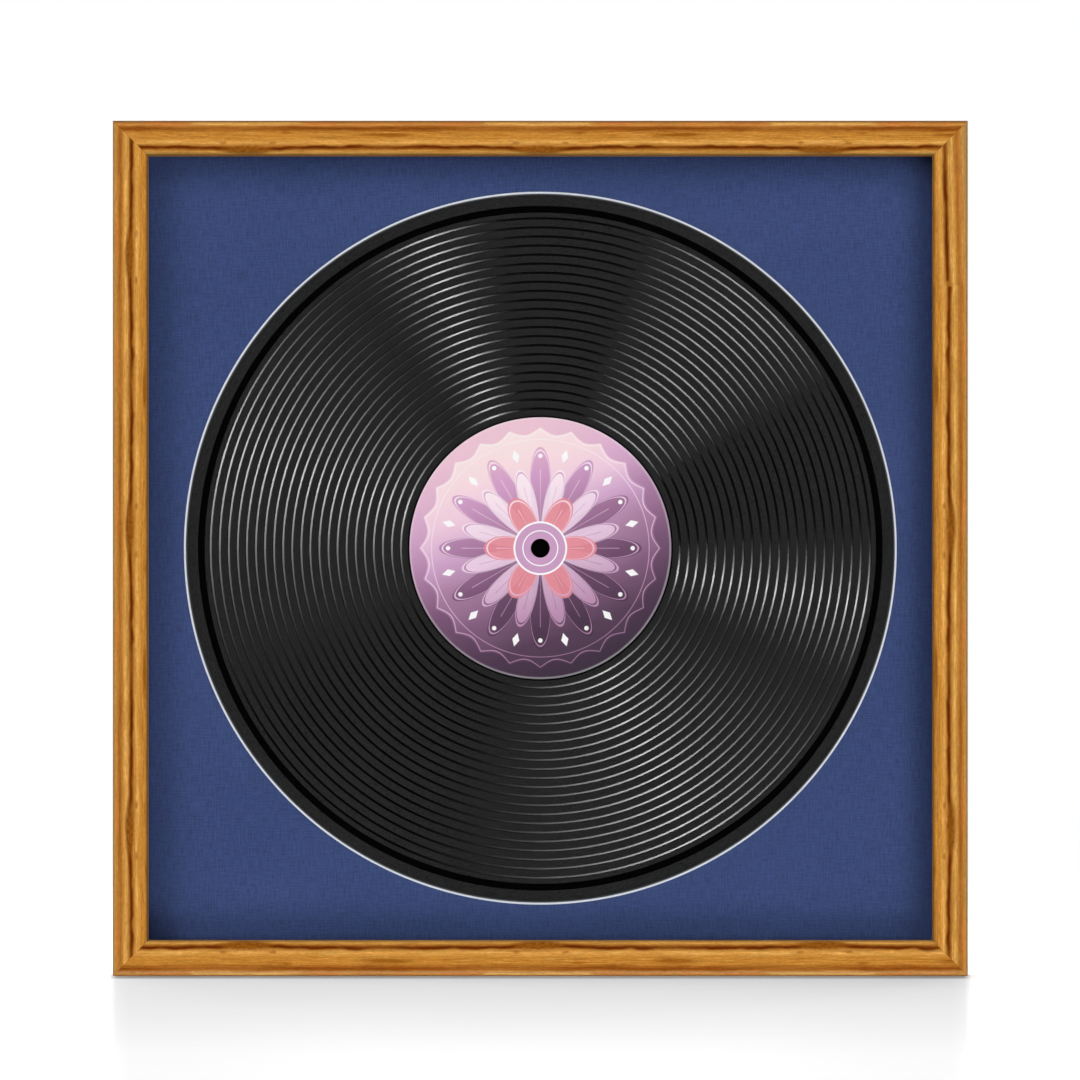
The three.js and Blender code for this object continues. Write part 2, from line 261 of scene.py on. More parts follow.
# The dark streak's lower edge and its half-width; humps are (middle, half-length, size) along t.
SWELL = [(-48.5, 7.5, .20), (-41, 4.5, .07), (-28, 7.5, .12), (-10, 6, .15), (15, 6.5, .15), (30, 8, .13), (45.5, 6, .30)]
BEND = [(-36, 5, .10), (-20, 5, .06), (22, 5, .06), (39, 5, .14)]
FAINT = [(56, 13, .46), (-66, 15, .46), (-52, 3.5, .16), (-35, 3, .26), (-19, 3.5, .18), (21.5, 4.5, .16), (39.5, 3.2, .28)]
RIPPLES = [(5.3, .6, .035), (9.9, 2.1, .05), (27.0, 4.0, .06)]   # (length, phase, size)
STREAK_T, STREAK_W = 12.04, 0.71
PATCH = (0.3, 9.6, 12.45, 1.95)                                 # middle and half-size, along and across


def np_hump(t, c, h):
    return np.clip(1 - ((t - c) / h) ** 2, 0, 1) ** 2


def np_step(a, lo, hi):
    x = np.clip((a - lo) / (hi - lo), 0, 1)
    return x * x * (3 - 2 * x)


def figure_place(kind, u, v, forked, spread=1.0):
    """(t, T) on the board for a place on a rail; arrays."""
    if kind == "h":
        w = u + 0.6
        t, T = 0.9985 * w + 0.0165 * np.abs(w), v * spread
    else:
        w = u - 9.0
        t, T = -1.006 * w - 0.051 * np.abs(w), TURNED_AT - v
        if forked:
            up = np_step(u, FORK_U - 0.8, FORK_U + 0.8)
            t = t * (1 - up) + (22 + (u - FORK_U) * 0.55) * up
            T = T + up * (0.5 + np.clip((u - FORK_U) / 57, 0, 1) * 1.25)
    return (t + FIGURE / 2) % FIGURE - FIGURE / 2, T


def streak_depth(kind, u, v, forked, spread=1.0, rise=0.0):
    """How deep the dark streak lies in the face, 0 to 1 (arrays)."""
    t, T = figure_place(kind, u, v, forked, spread)
    w = STREAK_W + sum(a * np_hump(t, c, h) for c, h, a in SWELL)
    low = STREAK_T + rise + sum(a * np_hump(t, c, h) for c, h, a in BEND)
    low = low + 0.50 * (1 - np_step(np.abs(t - 2.5), 11.0, 17.5)) + 0.18 * (1 - np_step(np.abs(t - 1.0), 16.0, 29.0))
    for length, phase, size in RIPPLES:
        low = low + size * np.sin(u * (2 * math.pi / length) + phase)
    deep = 1 - np_step(np.abs(T - low + w), 0.3 * w, w + 0.25)
    faint = sum(a * np_hump(t, cc, h) for cc, h, a in FAINT)
    return deep * (1 - faint) * (1 - 0.85 * np_hump(t, PATCH[0], PATCH[1] * 1.15) ** 0.5)


def wood(r, g, b):
    """Base colour of the oak that this light shows as screen colour (r, g, b)."""
    return tuple(max(0.0, (c - 0.0055) / 1.03) for c in lin(r, g, b))


STRIP = wood(203, 139, 68)
GOLD = wood(193, 131, 54)
HONEY = wood(221, 163, 82)
PALE = wood(232, 178, 98)
RUSSET = wood(137, 76, 19)
ORANGE = wood(204, 124, 62)
CARAMEL = wood(164, 102, 38)
UMBER = wood(99, 39, 0)
OLIVE = wood(150, 112, 58)
BOARD = [(0.0, wood(184, 130, 66)), (0.9, wood(196, 134, 64)), (1.9, STRIP), (2.7, wood(180, 118, 52)), (4.3, wood(176, 114, 46)), (5.2, GOLD), (7.2, GOLD),
         (8.3, wood(202, 142, 64)), (9.3, wood(212, 153, 74)), (10.2, wood(190, 132, 61)), (11.3, wood(172, 110, 46)), (12.5, wood(170, 114, 50)), (13.0, wood(184, 130, 59)),
         (14.0, wood(210, 155, 80)), (14.7, wood(197, 140, 66)), (15.6, wood(182, 122, 52)), (16.9, wood(180, 117, 53)), (17.7, wood(189, 129, 62)), (18.6, wood(190, 141, 72)), (19.6, wood(178, 138, 80))]


# edge and lip set the painted shade at the face's outer arris and at its inner lip.
def oak(name, kind, seed, edge, forked=False, spread=1.0, lip=(12.9, 14.7, 0.38), rise=0.0, near=0.0):
    def build(g):
        u, v, _ = g.xyz(g.uv("Grain"))
        if kind == "h":
            w = u + 0.6
            t, T = w * 0.9985 + g.abs(w) * 0.0165, v * spread
        else:
            w = u - 9.0
            t, T = w * -1.006 - g.abs(w) * 0.051, TURNED_AT - v
            if forked:
                up = g.step(u, FORK_U - 0.8, FORK_U + 0.8)
                other = (u - FORK_U) * 0.55 + 22.0
                t = t + (other - t) * up
                T = T + up * (g.clamp((u - FORK_U) * (1 / 57)) * 1.25 + 0.5)
        t = g.wrap(t, -FIGURE / 2, FIGURE / 2)

        # Slow drift of the bands, and fibre noise stretched along the rail.
        drift = (g.noise(g.vec(u * 0.045, v * 0.15, seed), 1.0, 2.0, 0.5) - 0.5) * 1.1
        W = T + drift + g.step(v, 7.0, 3.5, 0.0, near) if near else T + drift
        fibre = g.noise(g.vec(u * 0.050, v * 2.2, seed + 3.1), 1.0, 3.0, 0.60)
        strand = g.noise(g.vec(u * 0.11, v * 1.15, seed + 14.0), 1.0, 3.0, 0.62, 0.25)
        fine = g.noise(g.vec(u * 0.30, v * 5.2, seed + 8.7), 1.0, 3.0, 0.6)
        cloud = g.noise(g.vec(u * 0.075, v * 0.42, seed + 5.3), 1.0, 2.0, 0.5)

        colour = g.ramp(W * (1 / 20.0), [(a / 20.0, c) for a, c in BOARD])

        # Strip beside the outer edge: pale in the figure's middle, orange to each side.
        strip = g.band(W, 1.15, 0.75, 0.55)
        colour = g.mix(strip * g.band(t, 0.0, 22.5, 2.0) * g.step(strand, 0.35, 0.55, 0.35, 1.0) * 0.80, colour, PALE)
        orange = g.high(g.high(g.band(t, -33.0, 8.5, 3.0), g.band(t, 32.0, 7.5, 3.0)), g.high(g.hump(t, 50.0, 9.0), g.hump(t, -57.0, 9.0)) * 0.75)
        colour = g.mix(strip * orange * g.step(fibre, 0.30, 0.55, 0.5, 1.0) * 0.90, colour, ORANGE)

        # Russet streak, faint over the figure's middle; thin second line under it.
        force = g.step(g.abs(t + 12.0), 10.0, 32.0, 0.50, 1.0)
        wander = (g.noise1(u * 0.07 + (seed + 1.7), 1.0, 2.0) - 0.5) * 0.7
        russet = g.band(W, wander + 3.28, g.noise1(u * 0.09 + (seed + 6.0), 1.0, 1.0) * 0.8 + 0.40, 0.72)
        colour = g.mix(russet * force * g.step(strand, 0.22, 0.55, 0.60, 1.0), colour, wood(139, 74, 26))
        line = g.band(W, wander * -0.7 + 4.45, 0.10, 0.28) * g.step(strand, 0.42, 0.58)
        colour = g.mix(line * 0.45, colour, RUSSET)

        # Golden middle with short dashes, a pointed red lens and a small spot.
        dash = g.noise(g.vec(u * 0.085, v * 1.5, seed + 11.0), 1.0, 2.0, 0.55)
        golden = g.band(T, 6.1, 1.7, 0.8)
        colour = g.mix(g.step(dash, 0.53, 0.66) * golden * 0.62, colour, CARAMEL)
        colour = g.mix(g.step(dash, 0.45, 0.34) * golden * 0.45, colour, HONEY)
        around = g.wrap(t - 59.0, -FIGURE / 2, FIGURE / 2)
        lens = g.blob(around, W + strand * 0.5 - 0.25, 0.0, 5.95, 10.0, 0.78, 0.55)
        colour = g.mix(lens * g.step(fibre, 0.25, 0.6, 0.55, 1.0) * 0.82, colour, RUSSET)
        colour = g.mix(g.blob(t, W, 17.0, 5.2, 2.6, 0.5, 0.6) * 0.55, colour, RUSSET)

        # Light band, brighter in places.
        honey = g.band(T, 9.0, 0.55, 0.75)
        colour = g.mix(honey * g.step(cloud, 0.42, 0.66) * 0.65, colour, PALE)
        colour = g.mix(honey * g.step(strand, 0.42, 0.30) * 0.40, colour, GOLD)

        # Past the dark streak: a light band, then a second russet streak.
        second = g.band(T, 14.0, 0.5, 0.7)
        colour = g.mix(second * g.step(cloud, 0.40, 0.62) * 0.70, colour, PALE)
        force2 = g.step(g.abs(t + 20.0), 26.0, 44.0, 0.92, 0.45)
        russet2 = g.band(W, wander * 0.8 + 16.32, g.noise1(u * 0.08 + (seed + 9.0), 1.0, 1.0) * 0.7 + 0.20, 0.6)
        colour = g.mix(russet2 * force2 * g.step(strand, 0.22, 0.55, 0.55, 1.0) * 0.85, colour, wood(150, 86, 30))
        far = g.band(T, 17.6, 0.6, 0.7)
        colour = g.mix(far * g.high(g.hump(t, -8.0, 16.0), g.hump(t, 44.0, 14.0)) * 0.6, colour, ORANGE)

        # The dark streak, one edge straight and the other scalloped.
        sw = STREAK_W
        for c, h, a in SWELL:
            sw = g.hump(t, c, h) * a + sw
        low = STREAK_T + rise
        for c, h, a in BEND:
            low = g.hump(t, c, h) * a + low
        low = g.step(g.abs(t - 2.5), 11.0, 17.5, 0.50, 0.0) + g.step(g.abs(t - 1.0), 16.0, 29.0, 0.18, 0.0) + low
        for length, phase, size in RIPPLES:
            low = g.sin(u * (2 * math.pi / length) + phase) * size + low
        faint = 0.0
        for c, h, a in FAINT:
            faint = g.hump(t, c, h) * a + faint
        pc, ph, pv, pw = PATCH
        inpatch = g.math("POWER", g.hump(t, pc, ph * 1.15), 0.5)
        sw = sw * ((g.noise1(u * 0.16 + (seed + 2.3), 1.0, 1.0) - 0.5) * 0.30 + 1.0)
        off = g.abs(T - low + sw + (strand - 0.5) * 0.50 + (fine - 0.5) * 0.42)
        keep = (1.0 - faint) * (1.0 - inpatch * 0.90)
        if forked:
            keep = keep * (1.0 - g.band(u, FORK_U + 0.4, 0.9, 1.2) * 0.9)
        halo = g.step(off, sw * 0.5, sw + 0.60, 1.0, 0.0)
        core = g.step(off, sw * 0.18, sw + 0.16, 1.0, 0.0)
        colour = g.mix(halo * keep * g.step(fibre, 0.25, 0.6, 0.52, 0.82), colour, RUSSET)
        colour = g.mix(core * keep * g.step(fine, 0.28, 0.55, 0.78, 1.0), colour, UMBER)
        under = g.band(T, 0.75 + low, 0.16, 0.34) * (1.0 - inpatch)
        colour = g.mix(under * g.step(cloud, 0.35, 0.6) * 0.55, colour, HONEY)

        # The figure's soft brown stretch, mottled, with a small knot at each end.
        mottle = g.noise(g.vec(u * 0.52, v * 1.7, seed + 21.0), 1.0, 3.0, 0.60)
        pt, pT = t + (strand - 0.5) * 3.5, T + (mottle - 0.5) * 1.3
        soft = g.blob(pt, pT, pc, pv, ph * 1.05, pw * 0.90, 0.42)
        colour = g.mix(soft * g.step(fibre, 0.25, 0.7, 0.62, 0.97), colour, wood(143, 84, 27))
        colour = g.mix(soft * g.step(mottle, 0.40, 0.64) * 0.60, colour, wood(114, 58, 8))
        belly = g.band(T, pv + 0.75, 0.16, 0.42) * g.hump(t, pc, ph * 1.05)
        colour = g.mix(belly * g.step(mottle, 0.35, 0.6) * 0.5, colour, wood(112, 56, 10))
        for side, kt in ((-1, -9.4), (1, 11.3)):
            knot = g.blob(t + (strand - 0.5) * 2.5, T + (mottle - 0.5) * 1.0, kt, 9.45, 1.5, 0.62, 0.6)
            colour = g.mix(knot * g.step(fine, 0.35, 0.6, 0.5, 1.0) * 0.75, colour, wood(146, 86, 30))

        # Painted shade along both edges of the face: darker at the outer arris as edge sets, and at the inner lip as
        # lip sets (start, end, darkness), with an olive tint there.
        rim = g.step(v, 0.1, 1.2 + 0.3 * (edge < 0.6), edge, 1.0) * g.step(v, lip[0], lip[1], 1.0, lip[2])
        on_face = g.step(v, -1.3, -0.3) * g.step(v, 15.2, 15.6, 1.0, 0.0)
        rim = (rim - 1.0) * on_face + 1.0
        tuft = g.noise(g.vec(u * 0.50, v * 1.25, seed + 55.0), 1.0, 2.0, 0.65)
        rim = rim * g.step(tuft, 0.25, 0.75, 0.86, 1.14, smooth=False)
        colour = g.mix(g.step(v, lip[0], lip[1] - 0.5) * on_face * 0.50, colour, OLIVE)

        # Painted shade: with near set, a greyer, darker band along the face's outer edge.
        if near:
            colour = g.mix(g.band(v, 1.35, 0.35, 0.5) * 0.5, colour, wood(162, 134, 96))

        # Outer side and back: plain straight grain, paler on the bare back.
        away = g.high(g.step(v, -0.5, -1.6), g.step(v, 15.3, 16.2))
        plain = g.ramp(g.noise(g.vec(u * 0.014, v * 0.42, seed + 40.0), 1.0, 3.0, 0.55),
                       [(0.30, CARAMEL), (0.42, GOLD), (0.50, STRIP), (0.62, HONEY)])
        streaks = g.step(g.noise(g.vec(u * 0.012, v * 0.95, seed + 47.0), 1.0, 2.0, 0.5), 0.57, 0.68)
        plain = g.mix(streaks * 0.70, plain, RUSSET)
        colour = g.mix(away, colour, plain)
        raw = g.step(v, 55.0, 56.0)
        colour = g.mix(raw, colour, g.mix(0.6, plain, lin(214, 172, 116)))

        # Thin line of the joint along each mitre.
        across = g.low(g.high(v, 0.0), FACE_W)
        across = across + (v - 60.0 - across) * raw * g.step(v, 78.0, 79.0, 1.0, 0.0)
        joint = g.step(across * -1.0 - g.abs(u) + HALF, 0.06, 0.20, 1.0, 0.0)
        colour = g.mix(joint * 0.26, colour, wood(112, 60, 16))

        # Fibres and pores, with rim's painted edge shade multiplied in.
        colour = g.scale_colour(colour, g.step(fibre, 0.25, 0.75, 0.78, 1.20, smooth=False) * rim)
        colour = g.scale_colour(colour, g.step(fine, 0.25, 0.75, 0.78, 1.21, smooth=False))
        pore = g.step(g.noise(g.vec(u * 0.45, v * 8.0, seed + 31.0), 1.0, 1.0, 0.5), 0.64, 0.72)
        colour = g.mix(pore * 0.38, colour, RUSSET)

        rough = g.step(fibre, 0.2, 0.8, 0.36, 0.48, smooth=False) + core * keep * 0.08 + away * 0.14 + raw * 0.16
        height = fibre * 0.4 + fine * 0.3 - pore * 0.6 - core * keep * 0.3
        return {"Base Color": colour, "Roughness": rough, "Normal": g.bump(height, 0.00008, 0.8)}

    return material(name, build, IOR=1.5, Specular_IOR_Level=0.035)


# ---- other finishes ------------------------------------------------------------------------

THREAD = 0.80


def linen_material():
    def build(g):
        x, _, z = g.xyz(g.object_mm())
        # Threads a little over half a millimetre apart, each swelling and thinning along its length.
        warp_slub = g.noise(g.vec(x * 1.75, z * 0.16, 2.0), 1.0, 2.0, 0.6)
        weft_slub = g.noise(g.vec(x * 0.16, z * 1.75, 7.0), 1.0, 2.0, 0.6)
        wx = x + (g.noise(g.vec(x * 0.2, z * 0.35, 11.0), 1.0, 1.0) - 0.5) * 0.55
        wz = z + (g.noise(g.vec(x * 0.35, z * 0.2, 17.0), 1.0, 1.0) - 0.5) * 0.55
        over = g.sin(wx * (math.pi / THREAD)) * g.sin(wz * (math.pi / THREAD))
        warp = g.abs(g.sin(wx * (math.pi / THREAD)))
        weft = g.abs(g.sin(wz * (math.pi / THREAD)))
        weave = g.mix(g.step(over, -0.25, 0.25), weft, warp)
        wr, _, _ = g.xyz(weave)
        cloud = g.noise(g.vec(x * 0.012, z * 0.012, 4.0), 1.0, 3.0, 0.55)
        speck = g.noise(g.vec(x * 0.75, z * 0.75, 23.0), 1.0, 2.0, 0.7)
        base = g.mix(g.step(cloud, 0.3, 0.7), lin(56, 72, 116.5), lin(59.5, 74.5, 121))
        lift = (warp_slub - 0.5) * 0.80 + (weft_slub - 0.5) * 0.62 + (speck - 0.5) * 0.45 + (wr - 0.62) * 0.16 + 1.0
        out = g.high(g.abs(x), g.abs(z - HALF))
        # Painted shade: the blue darkens towards the rails' sight edge, a little from 150 mm out and more over the last
        # 2 mm.
        colour = g.scale_colour(base, lift * g.step(out, 150.0, 166.2, 1.0, 0.94) * g.step(out, 164.2, 166.2, 1.0, 0.86))
        height = wr * 0.6 + warp_slub * 0.4 + weft_slub * 0.4
        return {"Base Color": colour, "Roughness": g.step(speck, 0.2, 0.8, 0.84, 0.95, smooth=False), "Normal": g.bump(height, 0.00007, 0.7)}
    return material("linen_blue", build, Sheen_Weight=0.02, Sheen_Roughness=0.5, Specular_IOR_Level=0.2)


def paper_material(name, pale, deep, scale=1.0, rough=(0.78, 0.92), bump=0.00003, fixed={}):
    def build(g):
        p = g.object_mm()
        x, y, z = g.xyz(p)
        fibre = g.noise(g.vec(x * 0.9 * scale, y * 0.9 * scale, z * 0.35 * scale), 1.0, 4.0, 0.65)
        cross = g.noise(g.vec(x * 0.3 * scale, y * 0.9 * scale + 9.0, z * 1.1 * scale), 1.0, 3.0, 0.6)
        cloud = g.noise(p, 0.02 * scale, 2.0, 0.5)
        f = g.clamp((fibre - 0.5) * 1.1 + (cross - 0.5) * 0.8 + (cloud - 0.5) * 0.5 + 0.5)
        return {"Base Color": g.mix(f, deep, pale), "Roughness": g.step(cross, 0.2, 0.8, rough[0], rough[1], smooth=False),
                "Normal": g.bump(fibre + cross * 0.6, bump, 0.8)}
    return material(name, build, **fixed)


def core_material():
    """White core of the mat along its bevel, with a thin painted shade, nearly black, where it meets the disc."""
    def build(g):
        x, z, r = polar(g)
        fibre = g.noise(g.vec(x * 1.4, z * 1.4, 3.0), 1.0, 3.0, 0.6)
        colour = g.mix(fibre, lin(226, 229, 240), lin(242, 244, 250))
        # Painted shade: the bevel's foot beside the disc turns nearly black.
        shade = g.step(r, WINDOW_R + 0.46, WINDOW_R + 0.90, 1.0, 0.0)
        colour = g.mix(shade * 0.96, colour, lin(28, 28, 29))
        return {"Base Color": colour, "Roughness": g.step(fibre, 0.2, 0.8, 0.7, 0.85, smooth=False), "Normal": g.bump(fibre, 0.00002, 0.6)}
    return material("mat_core", build, Specular_IOR_Level=0.3)


def polar(g):
    """Distance from the disc's centre in millimetres, and the unit direction."""
    x, _, z = g.xyz(g.object_mm())
    z = z - HALF
    r = g.sqrt(x * x + z * z)
    return x, z, r


def vinyl_land_material():
    def build(g):
        x, z, r = polar(g)
        ux, uz = x / r, z / r
        # Short streaks along the turning direction, and faint turned rings.
        streak = g.noise(g.vec(ux * 62.0, uz * 62.0, r * 2.3), 1.0, 2.0, 0.75)
        grit = g.noise(g.vec(ux * 190.0, uz * 190.0, r * 4.6 + 5.0), 1.0, 2.0, 0.7)
        rings = g.noise1(r * 3.1, 1.0, 2.0, 0.7)
        cloud = g.noise(g.vec(x * 0.02, z * 0.02, 3.0), 1.0, 2.0, 0.5)
        f = (streak - 0.5) * 1.5 + (grit - 0.5) * 1.3 + (rings - 0.5) * 0.35 + (cloud - 0.5) * 0.15 + 1.0
        colour = g.scale_colour(g.mix(cloud, lin(34.5, 34.5, 34.5), lin(36, 35.8, 35.6)), g.high(f, 0.2))
        rough = g.step(grit, 0.2, 0.8, 0.21, 0.29, smooth=False)
        return {"Base Color": colour, "Roughness": rough, "Normal": g.bump(rings * 0.5 + grit * 0.35, 0.00002, 0.6)}
    return material("vinyl_land", build, IOR=1.45)


def vinyl_wall_material():
    def build(g):
        x, z, r = polar(g)
        ux, uz = x / r, z / r
        streak = g.noise(g.vec(ux * 40.0, uz * 40.0, r * 6.0), 1.0, 2.0, 0.6)
        return {"Base Color": g.mix(streak, lin(1.5, 1.5, 1.5), lin(4, 4, 4)), "Roughness": g.step(streak, 0.25, 0.75, 0.085, 0.115, smooth=False),
                "Normal": g.bump(streak, 0.000004, 0.5)}
    return material("vinyl_groove", build, IOR=1.715)


def vinyl_black_material():
    def build(g):
        x, z, r = polar(g)
        n = g.noise(g.vec(x * 0.8, z * 0.8, r * 2.0), 1.0, 2.0, 0.6)
        return {"Base Color": g.mix(n, lin(0.6, 0.6, 0.6), lin(2.5, 2.5, 2.5)), "Roughness": g.step(n, 0.2, 0.8, 0.5, 0.62, smooth=False)}
    return material("vinyl_channel", build, Specular_IOR_Level=0.0)


def label_material(name, flip=False):
    """Printed paper: overlapping petals and rings on a slanted pink-to-plum wash."""
    def build(g):
        x, z, r = polar(g)
        if flip:
            x = x * -1.0
        a = g.math("ARCTAN2", z, x)
        WHITE, SALMON = lin(255, 252, 254), lin(232, 140, 150)
        drift = (g.noise(g.vec(x * 0.03, z * 0.03, 1.0), 1.0, 2.0) - 0.5) * 0.08
        wash = (z * 0.93 + x * -0.36) * (1 / 111.0) + 0.5 + drift
        ground = g.ramp(wash, [(0.03, lin(68, 50, 70)), (0.17, lin(88, 62, 86)), (0.32, lin(134, 96, 128)), (0.47, lin(176, 132, 166)), (0.59, lin(212, 168, 206)),
                               (0.70, lin(243, 206, 226)), (0.82, lin(251, 222, 228)), (0.97, lin(253, 232, 232))])
        tone = g.ramp(wash, [(0.03, lin(58, 42, 60)), (0.20, lin(76, 52, 76)), (0.38, lin(106, 70, 102)), (0.55, lin(156, 108, 146)), (0.75, lin(208, 152, 198)), (0.95, lin(236, 182, 208))])
        light = g.ramp(wash, [(0.03, lin(150, 112, 144)), (0.25, lin(206, 158, 194)), (0.50, lin(246, 216, 240)), (0.75, lin(255, 240, 246))])

        def edge(d, soft=0.10):
            """1 where d, in millimetres, is above 0."""
            return g.step(d, -soft, soft)

        colour = ground
        # Outer border: deep scallops with a thin line, and a fine ring inside them.
        wave = g.abs(g.sin(a * 12.0)) * -2.9 + 51.4
        colour = g.mix(edge(r - wave) * 0.70, colour, tone)
        colour = g.mix(edge(0.24 - g.abs(r - (wave - 0.9))) * 0.85, colour, light)
        colour = g.mix(edge(0.17 - g.abs(r - 46.2)) * 0.8, colour, light)
        # Layers of petals, each turned against the last.
        for n, turn, reach, k, fill, line, much in ((6, 0.0, 43.0, 0.80, tone, light, 0.92), (6, math.pi / 12, 34.5, 0.72, light, tone, 0.80), (3, 0.0, 24.0, 0.70, SALMON, light, 0.90)):
            petal = g.math("POWER", g.abs(g.cos((a + turn) * float(n))), k) * reach
            d = (petal - r) * g.step(petal, 0.0, reach * 0.5, 0.25, 0.72)
            colour = g.mix(edge(d) * much, colour, fill)
            colour = g.mix(edge(0.26 - g.abs(d - 1.0)) * 0.85, colour, line)
            vein = g.abs(g.sin((a + turn) * float(n)))
            colour = g.mix(edge(0.026 - vein, 0.014) * edge(petal * 0.78 - r) * 0.6, colour, line)
        # White diamonds between the long petals, and a bead on each petal's tip.
        for count, turn, radius, half, size in ((12, math.pi / 12, 40.2, 1.55, 2.9), (12, 0.0, 39.2, 0.95, 0.0)):
            step = 2 * math.pi / count
            local = g.wrap(a + turn, -step / 2, step / 2)
            bx = g.abs(local * radius)
            by = g.abs(r - radius)
            d = (1.0 - bx * (1 / half) - by * (1 / size)) * half * 0.8 if size else half - g.sqrt(bx * bx + by * by)
            colour = g.mix(edge(d), colour, WHITE)
        # Eye round the hole.
        colour = g.mix(edge(11.4 - r), colour, WHITE)
        colour = g.mix(edge(10.6 - r), colour, lin(206, 160, 198))
        colour = g.mix(edge(0.24 - g.abs(r - 7.4)), colour, WHITE)
        # Painted highlight along the paper's rounded edge, and a little tooth in the paper.
        colour = g.mix(edge(r - 54.75, 0.25) * 0.22, colour, WHITE)
        fibre = g.noise(g.vec(x * 1.6, z * 0.7, 6.0), 1.0, 3.0, 0.65)
        dot = g.noise(g.vec(x * 2.6, z * 2.6, 14.0), 1.0, 1.0, 0.5)
        colour = g.scale_colour(colour, (fibre - 0.5) * 0.06 + (dot - 0.5) * 0.05 + 1.0)
        rough = g.step(fibre, 0.2, 0.8, 0.42, 0.55, smooth=False)
        return {"Base Color": colour, "Roughness": rough, "Normal": g.bump(fibre * 0.7 + dot * 0.3, 0.00001, 0.6)}
    return material(name, build, IOR=1.45, Specular_IOR_Level=0.25)


def metal_material(name, pale, deep, tint, rough=(0.24, 0.40), scratch=True):
    def build(g):
        p = g.object_mm()
        x, y, z = g.xyz(p)
        cloud = g.noise(p, 0.22, 4.0, 0.6)
        fine = g.noise(p, 5.0, 2.0, 0.6)
        film = g.noise(p, 0.12, 2.0, 0.5)
        lines = g.noise(g.vec(x * 0.7 + z * 3.2, y * 3.0, z * 0.9 - x * 2.4), 1.0, 2.0, 0.7)
        colour = g.mix(g.step(cloud, 0.15, 0.85), deep, pale)
        colour = g.mix(g.step(film, 0.45, 0.75) * 0.35, colour, tint)
        colour = g.mix(g.step(lines, 0.62, 0.72) * (0.30 if scratch else 0.0), colour, (0.92, 0.92, 0.92))
        r = g.step(cloud, 0.25, 0.75, rough[0], rough[1], smooth=False) + (fine - 0.5) * 0.10
        return {"Base Color": colour, "Roughness": r, "Normal": g.bump(fine * 0.6 + lines * 0.4, 0.00001, 0.7)}
    return material(name, build, Metallic=1.0)


def rubber_material():
    def build(g):
        p = g.object_mm()
        fine = g.noise(p, 3.2, 3.0, 0.65)
        cloud = g.noise(p, 0.4, 2.0, 0.5)
        colour = g.mix(g.clamp(fine * 0.6 + cloud * 0.5 - 0.05), lin(28, 28, 29), lin(52, 52, 53))
        return {"Base Color": colour, "Roughness": g.step(fine, 0.2, 0.8, 0.55, 0.78, smooth=False), "Normal": g.bump(fine, 0.00004, 0.7)}
    return material("rubber_dark", build)


def hardboard_material():
    def build(g):
        x, y, z = g.xyz(g.object_mm())
        p = g.vec(x, y, z)
        warm = g.noise(p, 0.018, 3.0, 0.55)
        felt = g.noise(g.vec(x * 0.55, y, z * 0.55), 1.0, 5.0, 0.72)
        hair = g.noise(g.vec(x * 0.5 + z * 1.4, y * 2.0, z * 0.5 - x * 1.1), 1.0, 3.0, 0.7, 1.2)
        fleck = g.step(g.noise(g.vec(x * 1.1, y + 3.0, z * 0.8), 1.0, 2.0, 0.55), 0.66, 0.74)
        colour = g.ramp(g.clamp((warm - 0.5) * 0.22 + (felt - 0.5) * 1.5 + 0.5), [(0.1, lin(104, 70, 43)), (0.45, lin(132, 92, 58)), (0.65, lin(146, 104, 67)), (0.95, lin(170, 127, 86))])
        colour = g.mix(g.step(hair, 0.57, 0.70) * 0.50, colour, lin(188, 148, 106))
        colour = g.mix(fleck * 0.60, colour, lin(78, 49, 29))
        return {"Base Color": colour, "Roughness": g.step(felt, 0.2, 0.8, 0.62, 0.82, smooth=False), "Normal": g.bump(felt * 0.6 + hair * 0.4 - fleck * 0.3, 0.00008, 0.7)}
    return material("hardboard_brown", build)


def foam_material():
    def build(g):
        p = g.object_mm()
        bubble = g.cells(p, 1.6)
        n = g.noise(p, 0.9, 3.0, 0.6)
        colour = g.mix(g.clamp(bubble * 0.8 + (n - 0.5) * 0.5), lin(22, 22, 23), lin(40, 40, 42))
        return {"Base Color": colour, "Roughness": g.step(n, 0.2, 0.8, 0.75, 0.92, smooth=False), "Normal": g.bump(bubble, 0.00006, 0.6)}
    return material("foam_strip_black", build)


def glazing_material():
    """Clear sheet: it lets lamps through, and mirrors by its angle."""
    m = bpy.data.materials.new("acrylic_clear")
    m.use_nodes = True
    g = Graph(m.node_tree)
    out = g.node("ShaderNodeOutputMaterial")
    clear = g.node("ShaderNodeBsdfTransparent")
    clear.inputs[0].default_value = (0.992, 0.996, 0.994, 1)
    gloss = g.node("ShaderNodeBsdfAnisotropic")
    p = g.object_mm()
    smear = g.noise(p, 0.012, 3.0, 0.5)
    gloss.inputs["Color"].default_value = (1, 1, 1, 1)
    g.put(gloss.inputs["Roughness"], g.step(smear, 0.3, 0.7, 0.015, 0.045, smooth=False))
    facing = g.node("ShaderNodeLayerWeight")
    facing.inputs["Blend"].default_value = 0.5
    rim = g.math("POWER", Val(g, facing.outputs["Facing"]), 5.0) * 0.965 + 0.030
    mix = g.node("ShaderNodeMixShader")
    g.put(mix.inputs[0], rim)
    m.node_tree.links.new(clear.outputs[0], mix.inputs[1])
    m.node_tree.links.new(gloss.outputs[0], mix.inputs[2])
    m.node_tree.links.new(mix.outputs[0], out.inputs[0])
    MATERIALS["acrylic_clear"] = m
    return m


# ---- meshes --------------------------------------------------------------------------------

